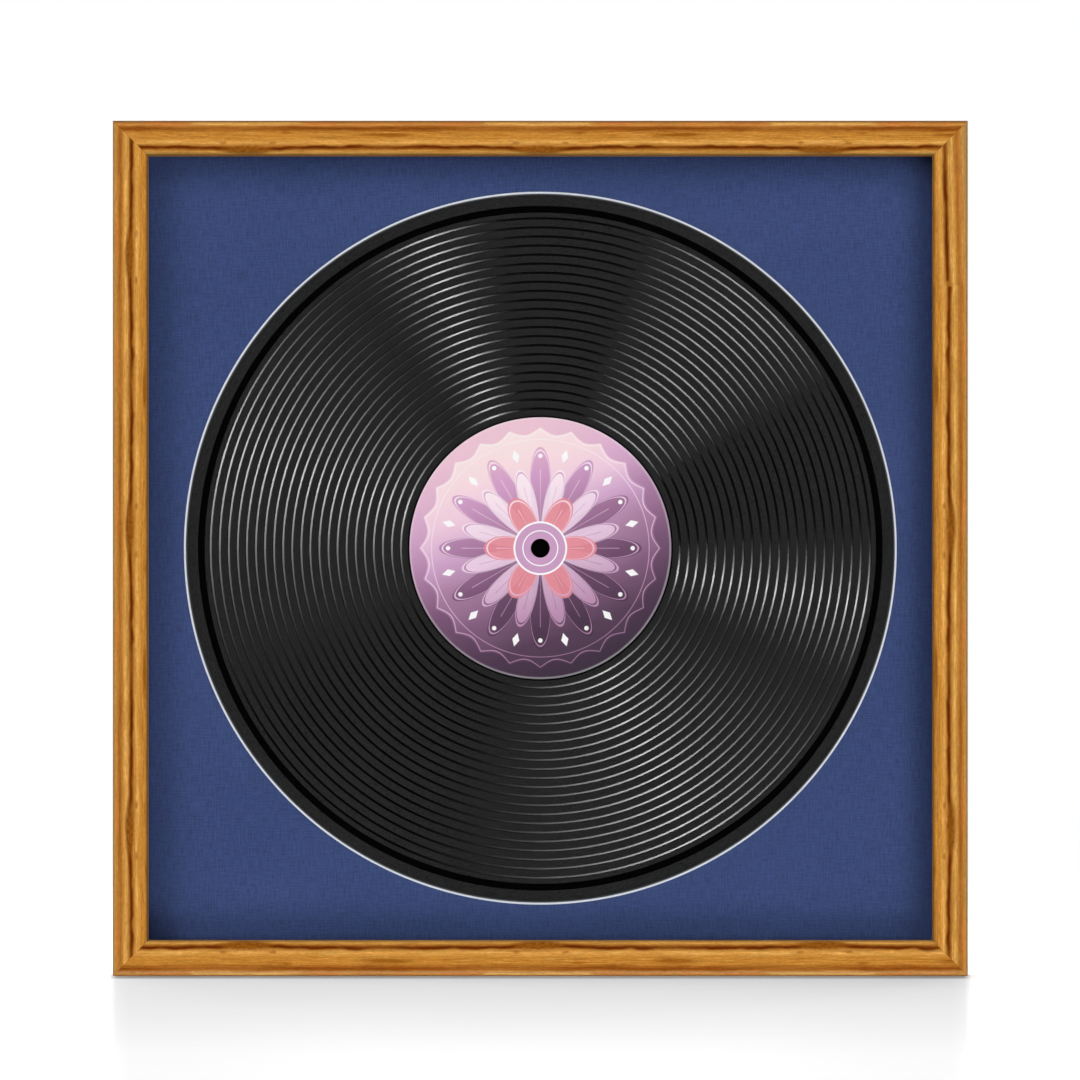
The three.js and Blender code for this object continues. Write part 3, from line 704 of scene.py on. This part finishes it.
def new_object(name, bm, materials, sharp=30.0, flat=None):
    """Object from a bmesh in millimetres, in world space. Faces larger than flat, in square
    millimetres, are shaded flat."""
    bmesh.ops.recalc_face_normals(bm, faces=bm.faces)
    bmesh.ops.scale(bm, vec=(MM, MM, MM), verts=bm.verts)
    me = bpy.data.meshes.new(name)
    bm.to_mesh(me)
    bm.free()
    for m in materials:
        me.materials.append(m)
    me.shade_smooth()
    me.set_sharp_from_angle(angle=math.radians(sharp))
    if flat:
        for face in me.polygons:
            if face.area > flat * MM * MM:
                face.use_smooth = False
    ob = bpy.data.objects.new(name, me)
    COLLECTION.objects.link(ob)
    return ob


def place(ob, body, slot, *nodes):
    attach(ob, body)
    if nodes:
        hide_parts(*nodes)
    return ob


def lathe(profile, segments, slots=None, x=0.0, z=HALF, closed=True, turn=0.0):
    """Bmesh turned about the depth axis. profile is [(r, d), ...]; a point with r 0 is the axis.
    slots[i] is the material of the strip from point i to the next."""
    bm = bmesh.new()
    rings = []
    for r, d in profile:
        if r < 1e-9:
            rings.append([bm.verts.new((x, FRONT + d, z))])
        else:
            rings.append([bm.verts.new((x + r * math.cos(turn + 2 * math.pi * k / segments), FRONT + d, z + r * math.sin(turn + 2 * math.pi * k / segments))) for k in range(segments)])
    n = len(rings)
    for i in range(n if closed else n - 1):
        a, b = rings[i], rings[(i + 1) % n]
        slot = slots[i] if slots else 0
        if len(a) == 1 and len(b) == 1:
            continue
        for k in range(segments):
            k1 = (k + 1) % segments
            if len(a) == 1:
                f = bm.faces.new((a[0], b[k1], b[k]))
            elif len(b) == 1:
                f = bm.faces.new((a[k], a[k1], b[0]))
            else:
                f = bm.faces.new((a[k], a[k1], b[k1], b[k]))
            f.material_index = slot
    return bm


def prism(points, d0, d1):
    """Closed bmesh from an outline of (x, z) points between depths d0 and d1."""
    bm = bmesh.new()
    a = [bm.verts.new((x, FRONT + d0, z)) for x, z in points]
    b = [bm.verts.new((x, FRONT + d1, z)) for x, z in points]
    bm.faces.new(a)
    bm.faces.new(list(reversed(b)))
    n = len(points)
    for i in range(n):
        bm.faces.new((a[i], a[(i + 1) % n], b[(i + 1) % n], b[i]))
    bmesh.ops.recalc_face_normals(bm, faces=bm.faces)
    return bm


def round_edges(bm, width, segments=2, angle=30.0):
    """Rounds the edges of a closed bmesh that are sharper than angle."""
    bm.normal_update()
    edges = [e for e in bm.edges if e.is_manifold and e.calc_face_angle(0.0) > math.radians(angle)]
    bmesh.ops.bevel(bm, geom=edges, offset=width, segments=segments, profile=0.5, affect="EDGES", clamp_overlap=True)
    return bm


def scratch(bm, name="scratch"):
    me = bpy.data.meshes.new(name)
    bmesh.ops.recalc_face_normals(bm, faces=bm.faces)
    bm.to_mesh(me)
    bm.free()
    ob = bpy.data.objects.new(name, me)
    COLLECTION.objects.link(ob)
    return ob


def cut(body, cutters):
    """body minus cutters, all bmeshes; returns a new bmesh. The cutters may not touch each other."""
    whole = bmesh.new()
    for c in cutters:
        bmesh.ops.recalc_face_normals(c, faces=c.faces)
        me = bpy.data.meshes.new("cutter")
        c.to_mesh(me)
        c.free()
        whole.from_mesh(me)
        bpy.data.meshes.remove(me)
    a, b = scratch(body, "cut_body"), scratch(whole, "cut_tool")
    mod = a.modifiers.new("cut", "BOOLEAN")
    mod.operation, mod.object, mod.solver = "DIFFERENCE", b, "EXACT"
    bpy.context.view_layer.update()
    made = a.evaluated_get(bpy.context.evaluated_depsgraph_get()).to_mesh()
    bm = bmesh.new()
    bm.from_mesh(made)
    a.evaluated_get(bpy.context.evaluated_depsgraph_get()).to_mesh_clear()
    for o in (a, b):
        me = o.data
        bpy.data.objects.remove(o)
        bpy.data.meshes.remove(me)
    return bm


def turned(points, side):
    """(x, w) of the bottom rail, w from the frame's centre line, turned to another side: world (x, z)."""
    c, s = math.cos(SIDES[side]), math.sin(SIDES[side])
    return [(x * c + w * s, HALF - x * s + w * c) for x, w in points]


def turn_bm(bm, side):
    """Turns a bmesh made for the bottom side to its own side, about the frame's centre."""
    m = Matrix.Translation((0, 0, HALF)) @ Matrix.Rotation(SIDES[side], 4, "Y") @ Matrix.Translation((0, 0, -HALF))
    bmesh.ops.transform(bm, matrix=m, verts=bm.verts)
    return bm


# ---- rails ---------------------------------------------------------------------------------

def arc(cw, cd, r, a0, a1, n):
    return [(cw + r * math.cos(math.radians(a0 + (a1 - a0) * i / n)), cd + r * math.sin(math.radians(a0 + (a1 - a0) * i / n))) for i in range(n + 1)]


def rail_section():
    points = arc(1.1, 1.1, 1.1, 180, 270, 8)
    steps = 56
    points += [(1.1 + (FACE_W - 2.0) * i / steps, 0.0) for i in range(1, steps)]
    points += arc(FACE_W - 0.9, 0.9, 0.9, 270, 360, 7)
    points += [(FACE_W, LIP_T - 0.15), (FACE_W - 0.15, LIP_T), (LAND, LIP_T), (LAND, RAIL_D - 0.2), (LAND - 0.2, RAIL_D)]
    points += arc(0.6, RAIL_D - 0.6, 0.6, 90, 180, 4)
    return points


def v_slot(at, thick, d0, d1, right):
    """V-shaped strip across the mitre of the bottom rail's left corner (or its right one)."""
    height, half = 3.0, 3.4
    length = math.hypot(height, half)
    ds, dt = height / length, half / length
    ns, nt = -dt, ds
    e = thick / 2
    end = (at + height, half)
    tip = e * length / half
    pts = [(at - tip, 0), (end[0] + ns * e, end[1] + nt * e), (end[0] - ns * e, end[1] - nt * e),
           (at + tip, 0), (end[0] - ns * e, -(end[1] - nt * e)), (end[0] + ns * e, -(end[1] + nt * e))]
    q = [((s - t) / math.sqrt(2) - HALF, (s + t) / math.sqrt(2)) for s, t in pts]
    if right:
        q = [(-x, w) for x, w in q]
    return prism(q, d0, d1)


SPREAD = {"bottom": 0.945}
RISE = {"left": 0.22}


def build_rail(side, kind, mat):
    section = rail_section()
    stations = 360
    gap = 0.001
    u_sign = {"bottom": 1, "top": -1, "left": -1, "right": 1}[side]
    w = np.array([p[0] for p in section])
    d = np.array([p[1] for p in section])
    reach = HALF - w - gap * math.sqrt(2)
    ts = np.linspace(-1, 1, stations + 1)
    bm = bmesh.new()
    rings = []
    on_face = (d < 0.02) & (w > 1.05) & (w < FACE_W - 0.85)
    for t in ts:
        x = reach * t
        depth = d.copy()
        if on_face.any():
            dip = streak_depth(kind, u_sign * x[on_face], w[on_face], side == "right", SPREAD.get(side, 1.0), RISE.get(side, 0.0))
            depth[on_face] += 0.09 * dip
        rings.append([bm.verts.new((float(x[i]), FRONT + float(depth[i]), float(w[i]))) for i in range(len(w))])
    n = len(section)
    for a, b in zip(rings, rings[1:]):
        for i in range(n):
            j = (i + 1) % n
            bm.faces.new((a[i], a[j], b[j], b[i]))
    bm.faces.new(rings[0])
    bm.faces.new(list(reversed(rings[-1])))
    tools = []
    for s in (-1, 1):
        tools.append(lathe([(0, RAIL_D - 12.4), (1.45, RAIL_D - 12.4), (1.45, RAIL_D - 0.35), (1.8, RAIL_D + 0.2), (1.8, RAIL_D + 1), (0, RAIL_D + 1)], 20, x=s * BUTTON_X, z=LAND / 2))
        for at in (4.9, 9.6):
            tools.append(v_slot(at, 0.86, RAIL_D - 9.9, RAIL_D + 1, s > 0))
    if side == "top":
        for s in (-1, 1):
            tools.append(lathe([(0, RAIL_D - 12.2), (0.72, RAIL_D - 12.2), (0.72, RAIL_D + 1), (0, RAIL_D + 1)], 14, x=s * 18.6, z=LAND / 2))
    bm = cut(bm, tools)
    bmesh.ops.dissolve_degenerate(bm, dist=1e-5, edges=bm.edges)
    bmesh.ops.recalc_face_normals(bm, faces=bm.faces)
    layer = bm.loops.layers.uv.new("Grain")
    for f in bm.faces:
        back, inward = f.normal.y > 0.7, f.normal.z > 0.7
        for loop in f.loops:
            x, y, z = loop.vert.co
            dd = y - FRONT
            if back:
                v = 60 + z
            elif inward and z < FACE_W - 1:
                v = 80 + dd
            elif z < 7.5:
                v = z - dd
            else:
                v = z + dd
            loop[layer].uv = (u_sign * x, v)
    turn_bm(bm, side)
    ob = new_object("oak_rail_" + side, bm, [mat], sharp=32)
    return place(ob, "frame", "oak", "rail_" + side)


OAK = {
    "top": oak("oak_top", "h", 0.0, 0.42),
    # On the bottom rail, near shifts the bands by the outer edge and lays a painted shade band there.
    "bottom": oak("oak_bottom", "h", 0.9, 1.0, spread=SPREAD["bottom"], lip=(13.8, 15.1, 0.62), near=0.42),
    "left": oak("oak_left", "v", 4.0, 0.80, lip=(13.3, 15.0, 0.45), rise=RISE["left"]),
    "right": oak("oak_right", "v", 4.6, 0.80, forked=True, lip=(13.3, 15.0, 0.45)),
}
for side in SIDES:
    build_rail(side, "h" if side in ("top", "bottom") else "v", OAK[side])


# ---- mat, disc, labels ---------------------------------------------------------------------

def build_mat():
    """Board with a bevel-cut round window. Slots: linen face, pale core, backing paper."""
    n = 512
    h = SHEET / 2
    bm = bmesh.new()

    def ring(r, d):
        return [bm.verts.new((r * math.cos(2 * math.pi * (k + 0.5) / n), FRONT + d, HALF + r * math.sin(2 * math.pi * (k + 0.5) / n))) for k in range(n)]

    def square(half, d):
        out = []
        for k in range(n):
            a = 2 * math.pi * (k + 0.5) / n
            c, s = math.cos(a), math.sin(a)
            m = max(abs(c), abs(s))
            out.append(bm.verts.new((half * c / m, FRONT + d, HALF + half * s / m)))
        return out

    front, back = MAT_AT, MAT_AT + MAT_T
    loops = [
        (square(h, front), 0),
        (ring(WINDOW_R + MAT_T + 3.0, front), 0),
        (ring(WINDOW_R + MAT_T + 0.12, front), 0),
        (ring(WINDOW_R + MAT_T - 0.02, front + 0.06), 1),
        (ring(WINDOW_R + 0.14, back - 0.14), 1),
        (ring(WINDOW_R, back - 0.05), 1),
        (ring(WINDOW_R + 0.02, back), 2),
        (ring(WINDOW_R + 4.0, back), 2),
        (square(h, back), 1),
    ]
    for i, (a, slot) in enumerate(loops):
        b = loops[(i + 1) % len(loops)][0]
        for k in range(n):
            k1 = (k + 1) % n
            f = bm.faces.new((a[k], a[k1], b[k1], b[k]))
            f.material_index = slot
    ob = new_object("mat_linen", bm, [
        linen_material(),
        core_material(),
        paper_material("mat_backing_paper", lin(226, 222, 212), lin(206, 201, 190)),
    ], sharp=25)
    return place(ob, "frame", "mat_blue", "mat_board")


def build_disc():
    """Pressed disc: coarse grooves with one wide sloping wall each, a dead-black channel, a plain rim."""
    front, back = DISC_AT, DISC_AT + DISC_T
    LAND_M, WALL, CHANNEL = 0, 1, 2
    groove_w, steep_w, shoulder = 0.79, 0.13, 0.05
    deep = groove_w * math.tan(math.radians(19.0))
    pts, slots = [], []

    def add(r, d, slot):
        pts.append((r, d))
        slots.append(slot)

    recess = LABEL_T + 0.06
    add(SPINDLE_R + 0.02, front + recess + 0.05, CHANNEL)
    add(SPINDLE_R + 0.10, front + recess, CHANNEL)
    add(LABEL_R + 0.20, front + recess, CHANNEL)
    add(LABEL_R + 0.22, front + 0.10, CHANNEL)
    add(LABEL_R + 0.72, front + 0.10, CHANNEL)
    add(LABEL_R + 0.80, front, LAND_M)
    for i in range(22):
        r0 = 59.21 + 3.8456 * i - groove_w / 2
        add(r0 - shoulder, front, WALL)
        add(r0, front + 0.005, WALL)
        add(r0 + groove_w * 0.5, front + deep * 0.5, WALL)
        add(r0 + groove_w, front + deep, CHANNEL)
        add(r0 + groove_w + steep_w, front, CHANNEL)
        add(r0 + groove_w + steep_w + shoulder, front, LAND_M)
    add(142.45, front, CHANNEL)
    add(142.60, front + 0.34, CHANNEL)
    add(145.22, front + 0.34, CHANNEL)
    add(145.36, front, LAND_M)
    add(DISC_R - 0.5, front, LAND_M)
    add(DISC_R - 0.15, front + 0.18, LAND_M)
    add(DISC_R, front + 0.6, LAND_M)
    add(DISC_R, back - 0.6, LAND_M)
    add(DISC_R - 0.15, back - 0.18, LAND_M)
    add(DISC_R - 0.5, back, LAND_M)
    add(145.25, back, CHANNEL)
    add(145.10, back - 0.30, CHANNEL)
    add(142.60, back - 0.30, CHANNEL)
    add(142.45, back, LAND_M)
    add(LABEL_R + 0.5, back, CHANNEL)
    add(LABEL_R + 0.3, back - recess, CHANNEL)
    add(SPINDLE_R, back - recess, CHANNEL)
    ob = new_object("disc_grooved", lathe(pts, 384, slots), [vinyl_land_material(), vinyl_wall_material(), vinyl_black_material()], sharp=12)
    return place(ob, "frame", "vinyl", "record_disc")


def build_label(name, node, at, facing, mat):
    """Paper disc with a softly rounded edge and a shallow pressed ring."""
    t = LABEL_T
    r1, r0 = LABEL_R + 0.08, SPINDLE_R + 0.25
    top, low = (at, at + t) if facing < 0 else (at + t, at)
    k = 1 if facing < 0 else -1
    pts = [(r0, low), (r0, top + 0.05 * k), (r0 + 0.06, top + 0.01 * k), (r0 + 0.25, top), (16.3, top), (16.55, top + 0.035 * k), (16.9, top + 0.035 * k), (17.15, top),
           (r1 - 0.62, top), (r1 - 0.34, top + 0.02 * k), (r1 - 0.14, top + 0.075 * k), (r1 - 0.02, top + 0.16 * k), (r1, low)]
    ob = new_object(name, lathe(pts, 256), [mat], sharp=40)
    return place(ob, "frame", "label_paper", node)


build_mat()
build_disc()
build_label("label_front_print", "label_front", DISC_AT, -1, label_material("label_print"))
build_label("label_back_print", "label_back", DISC_AT + DISC_T - LABEL_T, 1, label_material("label_print_back", flip=True))


# ---- boards and glazing --------------------------------------------------------------------

def dress(node, mat):
    """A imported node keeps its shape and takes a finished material."""
    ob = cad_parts[node]
    if not ob.material_slots:
        ob.data.materials.append(mat)
    for s in ob.material_slots:
        s.link = "OBJECT"
        s.material = mat


dress("glazing", glazing_material())
board_black = paper_material("board_black", lin(6, 6, 6.5), lin(2.5, 2.5, 2.5), fixed=dict(Specular_IOR_Level=0.0))
dress("carrier_board", board_black)
dress("backing_board", board_black)
foam = foam_material()
for side in SIDES:
    dress("spacer_" + side, foam)


def build_panel():
    h = SHEET / 2
    bm = prism([(-h, HALF - h), (h, HALF - h), (h, HALF + h), (-h, HALF + h)], PANEL_AT, PANEL_AT + PANEL_T)
    round_edges(bm, 0.5, 3)
    ob = new_object("panel_hardboard", bm, [hardboard_material()], sharp=40)
    return place(ob, "frame", "hardboard", "back_panel")


build_panel()


# ---- fittings ------------------------------------------------------------------------------

zinc = metal_material("zinc_plate", (0.66, 0.67, 0.68), (0.50, 0.51, 0.53), (0.72, 0.68, 0.52))
steel = metal_material("nail_steel", (0.52, 0.53, 0.54), (0.36, 0.37, 0.38), (0.46, 0.42, 0.38), (0.30, 0.48))
brass = metal_material("brass_plate", (0.80, 0.62, 0.30), (0.66, 0.48, 0.21), (0.84, 0.70, 0.42), (0.22, 0.38))
rubber = rubber_material()

BUTTON_AT = 28.3
BUTTON_T = 1.4


def button_points(n_end=20, n_tip=14):
    r, tip, reach = 4.0, 2.6, 17.5
    pts = [(r * math.cos(a), r * math.sin(a)) for a in np.linspace(math.pi, 2 * math.pi, n_end)]
    pts += [(r, 3.0)]
    pts += [(tip * math.cos(a), reach - tip + tip * math.sin(a)) for a in np.linspace(0, math.pi, n_tip)]
    pts += [(-r, 3.0)]
    return pts


def build_button(side, index):
    """Stamped plate with rounded edges, its screw hole and a pressed thumb dimple."""
    sx = (-1, 1)[index - 1] * BUTTON_X
    wz = LAND / 2
    bm = prism([(sx + x, wz + z) for x, z in button_points()], BUTTON_AT, BUTTON_AT + BUTTON_T)
    round_edges(bm, 0.32, 3, 40)
    hole = lathe([(0, BUTTON_AT - 1), (1.9, BUTTON_AT - 1), (1.9, BUTTON_AT + BUTTON_T + 1), (0, BUTTON_AT + BUTTON_T + 1)], 32, x=sx, z=wz)
    ball = []
    R, dip, cz = 4.2, 0.42, wz + 11.4
    for i in range(13):
        a = math.pi * i / 12
        ball.append((R * math.sin(a) if 0 < i < 12 else 0.0, BUTTON_AT + BUTTON_T + R - dip - R * math.cos(a)))
    dimple = lathe(ball, 40, x=sx, z=cz, closed=False)
    bm = cut(bm, [hole, dimple])
    turn_bm(bm, side)
    ob = new_object("button_plate_%s_%d" % (side, index), bm, [zinc], sharp=32, flat=6.0)
    body = "turn_button_%s_%d" % (side, index)
    return place(ob, body, "zinc", body)


def build_screw(side, index):
    """Pan-head screw with a tapered cross recess and a cut thread."""
    sx = (-1, 1)[index - 1] * BUTTON_X
    wz = LAND / 2
    seat = 30.0
    profile = [(0, 15.9), (0.25, 16.1), (1.15, 18.3)]
    at = 18.3
    while at < 27.2:
        profile += [(1.15, at + 0.12), (1.38, at + 0.42), (1.38, at + 0.50), (1.15, at + 0.80)]
        at += 0.95
    profile += [(1.2, 27.6), (1.38, 27.9), (1.38, seat), (2.85, seat), (3.04, seat + 0.06), (3.1, seat + 0.22), (3.08, seat + 0.46), (2.96, seat + 0.74),
                (2.72, seat + 1.02), (2.36, seat + 1.27), (1.88, seat + 1.47), (1.3, seat + 1.61), (0.65, seat + 1.68), (0, seat + 1.7)]
    bm = lathe(profile, 40, x=sx, z=wz, closed=False)
    spin = math.radians({"bottom": (14, 61), "left": (38, 77), "top": (5, 52), "right": (29, 68)}[side][index - 1])
    tools = []
    top, deep = seat + 1.9, seat + 0.55
    arms = bmesh.new()
    for k in range(2):
        a = spin + k * math.pi / 2
        c, s = math.cos(a), math.sin(a)
        quad = []
        for dd, length, width in ((top, 1.85, 0.40), (deep, 0.95, 0.25)):
            quad.append([arms.verts.new((sx + px * c - pz * s, FRONT + dd, wz + px * s + pz * c)) for px, pz in ((-length, -width), (length, -width), (length, width), (-length, width))])
        a_, b_ = quad
        arms.faces.new(a_)
        arms.faces.new(list(reversed(b_)))
        for i in range(4):
            arms.faces.new((a_[i], b_[i], b_[(i + 1) % 4], a_[(i + 1) % 4]))
        tools.append(arms)
        arms = bmesh.new()
    arms.free()
    bm = cut(bm, [tools[0]])
    bm = cut(bm, [tools[1]])
    turn_bm(bm, side)
    ob = new_object("screw_%s_%d" % (side, index), bm, [zinc], sharp=30)
    return place(ob, "frame", "zinc", "button_screw_%s_%d" % (side, index))


def eased_copy(name, node, mat, slot, width, body="frame", segments=2):
    """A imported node's own shape with its edges rounded."""
    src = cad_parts[node]
    bm = bmesh.new()
    bm.from_mesh(src.data)
    bmesh.ops.scale(bm, vec=(1 / MM,) * 3, verts=bm.verts)
    bmesh.ops.remove_doubles(bm, verts=bm.verts, dist=0.002)
    bmesh.ops.dissolve_limit(bm, angle_limit=math.radians(1.0), verts=bm.verts, edges=bm.edges)
    round_edges(bm, width, segments, 25)
    ob = new_object(name, bm, [mat], sharp=35, flat=1.5)
    return place(ob, body, slot, node)


for side in SIDES:
    for index in (1, 2):
        build_button(side, index)
        build_screw(side, index)

for corner in ("bottom_left", "top_left", "top_right", "bottom_right"):
    for which in ("outer", "inner"):
        eased_copy("v_strip_%s_%s" % (corner, which), "v_nail_%s_%s" % (corner, which), steel, "zinc", 0.08, segments=1)

eased_copy("hanger_plate", "sawtooth_hanger", brass, "brass_plate", 0.12)


def build_nail(name, x):
    seat = RAIL_D + 0.3 + 0.8 + 0.3
    pts = [(0, 16.0), (0.2, 16.4), (0.68, 17.8), (0.7, seat), (1.35, seat), (1.52, seat + 0.06), (1.6, seat + 0.2), (1.54, seat + 0.4), (1.3, seat + 0.62), (0.9, seat + 0.8), (0.45, seat + 0.88), (0, seat + 0.9)]
    ob = new_object(name, lathe(pts, 32, x=x, z=HALF + LAND_MID, closed=False), [brass], sharp=35)
    return place(ob, "frame", "brass_plate", "hanger_nail_" + name.rsplit("_", 1)[1])


build_nail("pin_left", -18.6)
build_nail("pin_right", 18.6)


def build_bumper(name, x):
    a = RAIL_D + 0.3
    pts = [(0, a), (3.75, a), (3.9, a + 0.12), (3.9, a + 1.9)]
    for k in range(1, 11):
        t = k / 10 * math.pi / 2
        pts.append((3.9 * math.cos(t) ** 0.72 if k < 10 else 0.0, a + 1.9 + 2.1 * math.sin(t)))
    ob = new_object(name, lathe(pts, 48, x=x, z=HALF - LAND_MID, closed=False), [rubber], sharp=40)
    return place(ob, "frame", "rubber", "bumper_" + name.rsplit("_", 1)[1])


build_bumper("pad_left", -163.0)
build_bumper("pad_right", 163.0)


# ---- floor, light and camera ---------------------------------------------------------------

def build_floor():
    bm = bmesh.new()
    v = [bm.verts.new((x, y, -0.2)) for x, y in ((-4000, -4000), (4000, -4000), (4000, 4000), (-4000, 4000))]
    bm.faces.new(v)
    me = bpy.data.meshes.new("floor")
    bmesh.ops.scale(bm, vec=(MM, MM, MM), verts=bm.verts)
    bm.to_mesh(me)
    bm.free()
    ob = bpy.data.objects.new("floor", me)
    COLLECTION.objects.link(ob)
    m = bpy.data.materials.new("floor_pale")
    m.use_nodes = True
    g = Graph(m.node_tree)
    out = g.node("ShaderNodeOutputMaterial")
    x, y, _ = g.xyz(g.object_mm())
    far = g.step(g.sqrt(x * x + y * y), 1500.0, 3300.0)
    matt = g.node("ShaderNodeBsdfDiffuse")
    grain = g.noise(g.object_mm(), 0.02, 3.0, 0.5)
    # Painted shadow: under darkens the floor just in front of the frame's foot, more toward its corners, and the floor
    # in front is a little darker toward the sides of the frame's shadow; side grows with distance in front, so these
    # narrow there.
    side = g.abs(x) / (y * 0.0001 + 1.0)
    under = g.step(side, 179.0, 184.0, 1.0, 0.0) * (g.step(side, 120.0, 176.0) * 0.30 + 1.0) * g.step(y, -86.0, -56.0) * g.step(y, 6.0, 26.0, 1.0, 0.0)
    g.put(matt.inputs[0], g.scale_colour(g.mix(grain, (0.79, 0.79, 0.79), (0.81, 0.81, 0.81)), 1.0 - under * 0.38 - g.step(side, 60.0, 170.0) * g.step(side, 174.0, 182.0, 1.0, 0.0) * g.step(y, -16.0, -40.0) * 0.05))
    # Painted light: the glow lifts the floor toward white, more behind the frame, far in front and beside the frame's
    # shadow, where it clears the real shadow; FLOOR_GLOW is its even part.
    glow = g.node("ShaderNodeEmission")
    g.put(glow.inputs["Strength"], g.step(y, -8.0, 150.0) * 0.20 + g.step(y, -700.0, -1700.0) * 0.07 + g.step((side - 179.6) / (y * y * 0.0000015 + 4.5), 0.0, 1.0) * 0.30 + FLOOR_GLOW)
    both = g.node("ShaderNodeAddShader")
    m.node_tree.links.new(matt.outputs[0], both.inputs[0])
    m.node_tree.links.new(glow.outputs[0], both.inputs[1])
    clear = g.node("ShaderNodeBsdfTransparent")
    mix = g.node("ShaderNodeMixShader")
    g.put(mix.inputs[0], far)
    m.node_tree.links.new(both.outputs[0], mix.inputs[1])
    m.node_tree.links.new(clear.outputs[0], mix.inputs[2])
    m.node_tree.links.new(mix.outputs[0], out.inputs[0])
    me.materials.append(m)
    # It carries the lamps' shadow, with painted shadow and a painted glow of its own: it neither lights the object nor
    # blocks the low lamps.
    ob.visible_diffuse = False
    ob.visible_glossy = False
    ob.visible_transmission = False
    ob.visible_shadow = False
    return ob


# Soft boxes round the view axis, 32 to 59 degrees off it: (angle clockwise from the right in the
# picture, reach to each side, strength against the brightest).
LAMPS = [(10.0, 16.2, 19.0, 1.32), (63.0, 59.5, 60.0, 1.03), (197.0, 60.0, 58.0, 1.03), (250.0, 19.0, 14.8, 1.32)]
DOME = (309.5, 21.2, 0.53)
LAMP = 9.9
BACK_LIGHT = 0.27
SIDE_LIGHT = 0.65
KEY_LIGHT = 1.2
OVERHEAD = 12.5
LOW_STRIP = ((6.0, 10.0, 14.0, 22.0, 22.0), (14.0, 22.0, 30.0, 42.0, 6.5))
FLOOR_GLOW = 0.03


def build_world():
    """Front soft boxes for the face and the disc, an even back, and three lamps behind that give the floor its contact
    shadow; the floor's material adds painted shadow to it."""
    world = bpy.data.worlds.new("studio")
    SCENE.world = world
    world.use_nodes = True
    g = Graph(world.node_tree)
    out = g.node("ShaderNodeOutputWorld")
    coord = g.node("ShaderNodeTexCoord")
    x, y, z = g.xyz(Val(g, coord.outputs["Generated"]))
    degrees = 180 / math.pi
    theta = g.math("ARCCOSINE", g.high(g.low(y * -1.0, 1.0), -1.0)) * degrees
    phi = g.math("ARCTAN2", z * -1.0, x) * degrees
    total = 0.0
    for centre, before, after, power in LAMPS:
        dphi = g.wrap(phi - centre, -180.0, 180.0)
        a = g.math("MULTIPLY_ADD", dphi, 1.0 / before, 1.0, clamp=True)
        b = g.math("MULTIPLY_ADD", dphi, -1.0 / after, 1.0, clamp=True)
        total = g.math("POWER", g.low(a, b), 3.55) * power + total
    centre, reach, power = DOME
    dphi = g.wrap(phi - centre, -180.0, 180.0) * (1.0 / reach)
    total = g.math("POWER", g.math("SUBTRACT", 1.0, dphi * dphi, clamp=True), 1.6) * power + total
    belt = g.step(theta, 30.0, 35.0) * g.step(theta, 54.0, 64.0, 1.0, 0.0)
    front = total * belt * LAMP + 0.012

    rise = g.math("ARCSINE", g.high(g.low(z, 1.0), -1.0)) * degrees
    turn = g.abs(g.math("ARCTAN2", x, y)) * degrees
    behind = g.step(theta, 82.0, 100.0) * g.step(z, -0.3, 1.0, 0.75, 1.25) * BACK_LIGHT
    key = g.step(theta, 80.0, 100.0) * g.step(x * -0.6 + z * 0.6 + y * 0.52, 0.72, 1.0) * KEY_LIGHT
    sides = g.step(theta, 78.0, 92.0) * g.step(g.abs(x), 0.72, 0.96) * SIDE_LIGHT
    over = g.step(rise, 76.0, 79.0) * g.step(rise, 86.0, 88.0, 1.0, 0.0) * g.step(y, 0.0, 0.05) * OVERHEAD
    low = 0.0
    for a, b, c, d, power in LOW_STRIP:
        low = g.step(rise, a, b) * g.step(rise, c, d, 1.0, 0.0) * power + low
    low = low * g.step(theta, 90.0, 96.0) * g.step(turn, 8.0, 14.0, 1.0, 0.0)
    ray = g.node("ShaderNodeLightPath")
    light = front + behind + key + sides + (over + low) * (1.0 - Val(g, ray.outputs["Is Glossy Ray"]) * 0.9)

    seen = g.node("ShaderNodeBackground")
    seen.inputs["Color"].default_value = (1, 1, 1, 1)
    seen.inputs["Strength"].default_value = 1.0
    lit = g.node("ShaderNodeBackground")
    lit.inputs["Color"].default_value = (1, 1, 1, 1)
    g.put(lit.inputs["Strength"], light)
    mix = g.node("ShaderNodeMixShader")
    world.node_tree.links.new(ray.outputs["Is Camera Ray"], mix.inputs[0])
    world.node_tree.links.new(lit.outputs[0], mix.inputs[1])
    world.node_tree.links.new(seen.outputs[0], mix.inputs[2])
    world.node_tree.links.new(mix.outputs[0], out.inputs[0])
    world.cycles.sampling_method = "MANUAL"
    world.cycles.sample_map_resolution = 1024


def build_camera():
    distance = 10.0
    width = 0.4585       # of the picture, at the disc
    cam = bpy.data.cameras.new("camera")
    cam.sensor_width = 36.0
    cam.lens = 36.0 * distance / width
    cam.clip_start, cam.clip_end = 0.1, 100.0
    ob = bpy.data.objects.new("camera", cam)
    COLLECTION.objects.link(ob)
    ob.location = (-0.00014, -distance, 0.18468)
    ob.rotation_euler = (math.pi / 2, 0, 0)
    SCENE.camera = ob


build_floor()
build_world()
build_camera()
SCENE.view_settings.view_transform = "Standard"
SCENE.view_settings.look = "None"
SCENE.view_settings.exposure = 0.0
SCENE.view_settings.gamma = 1.0
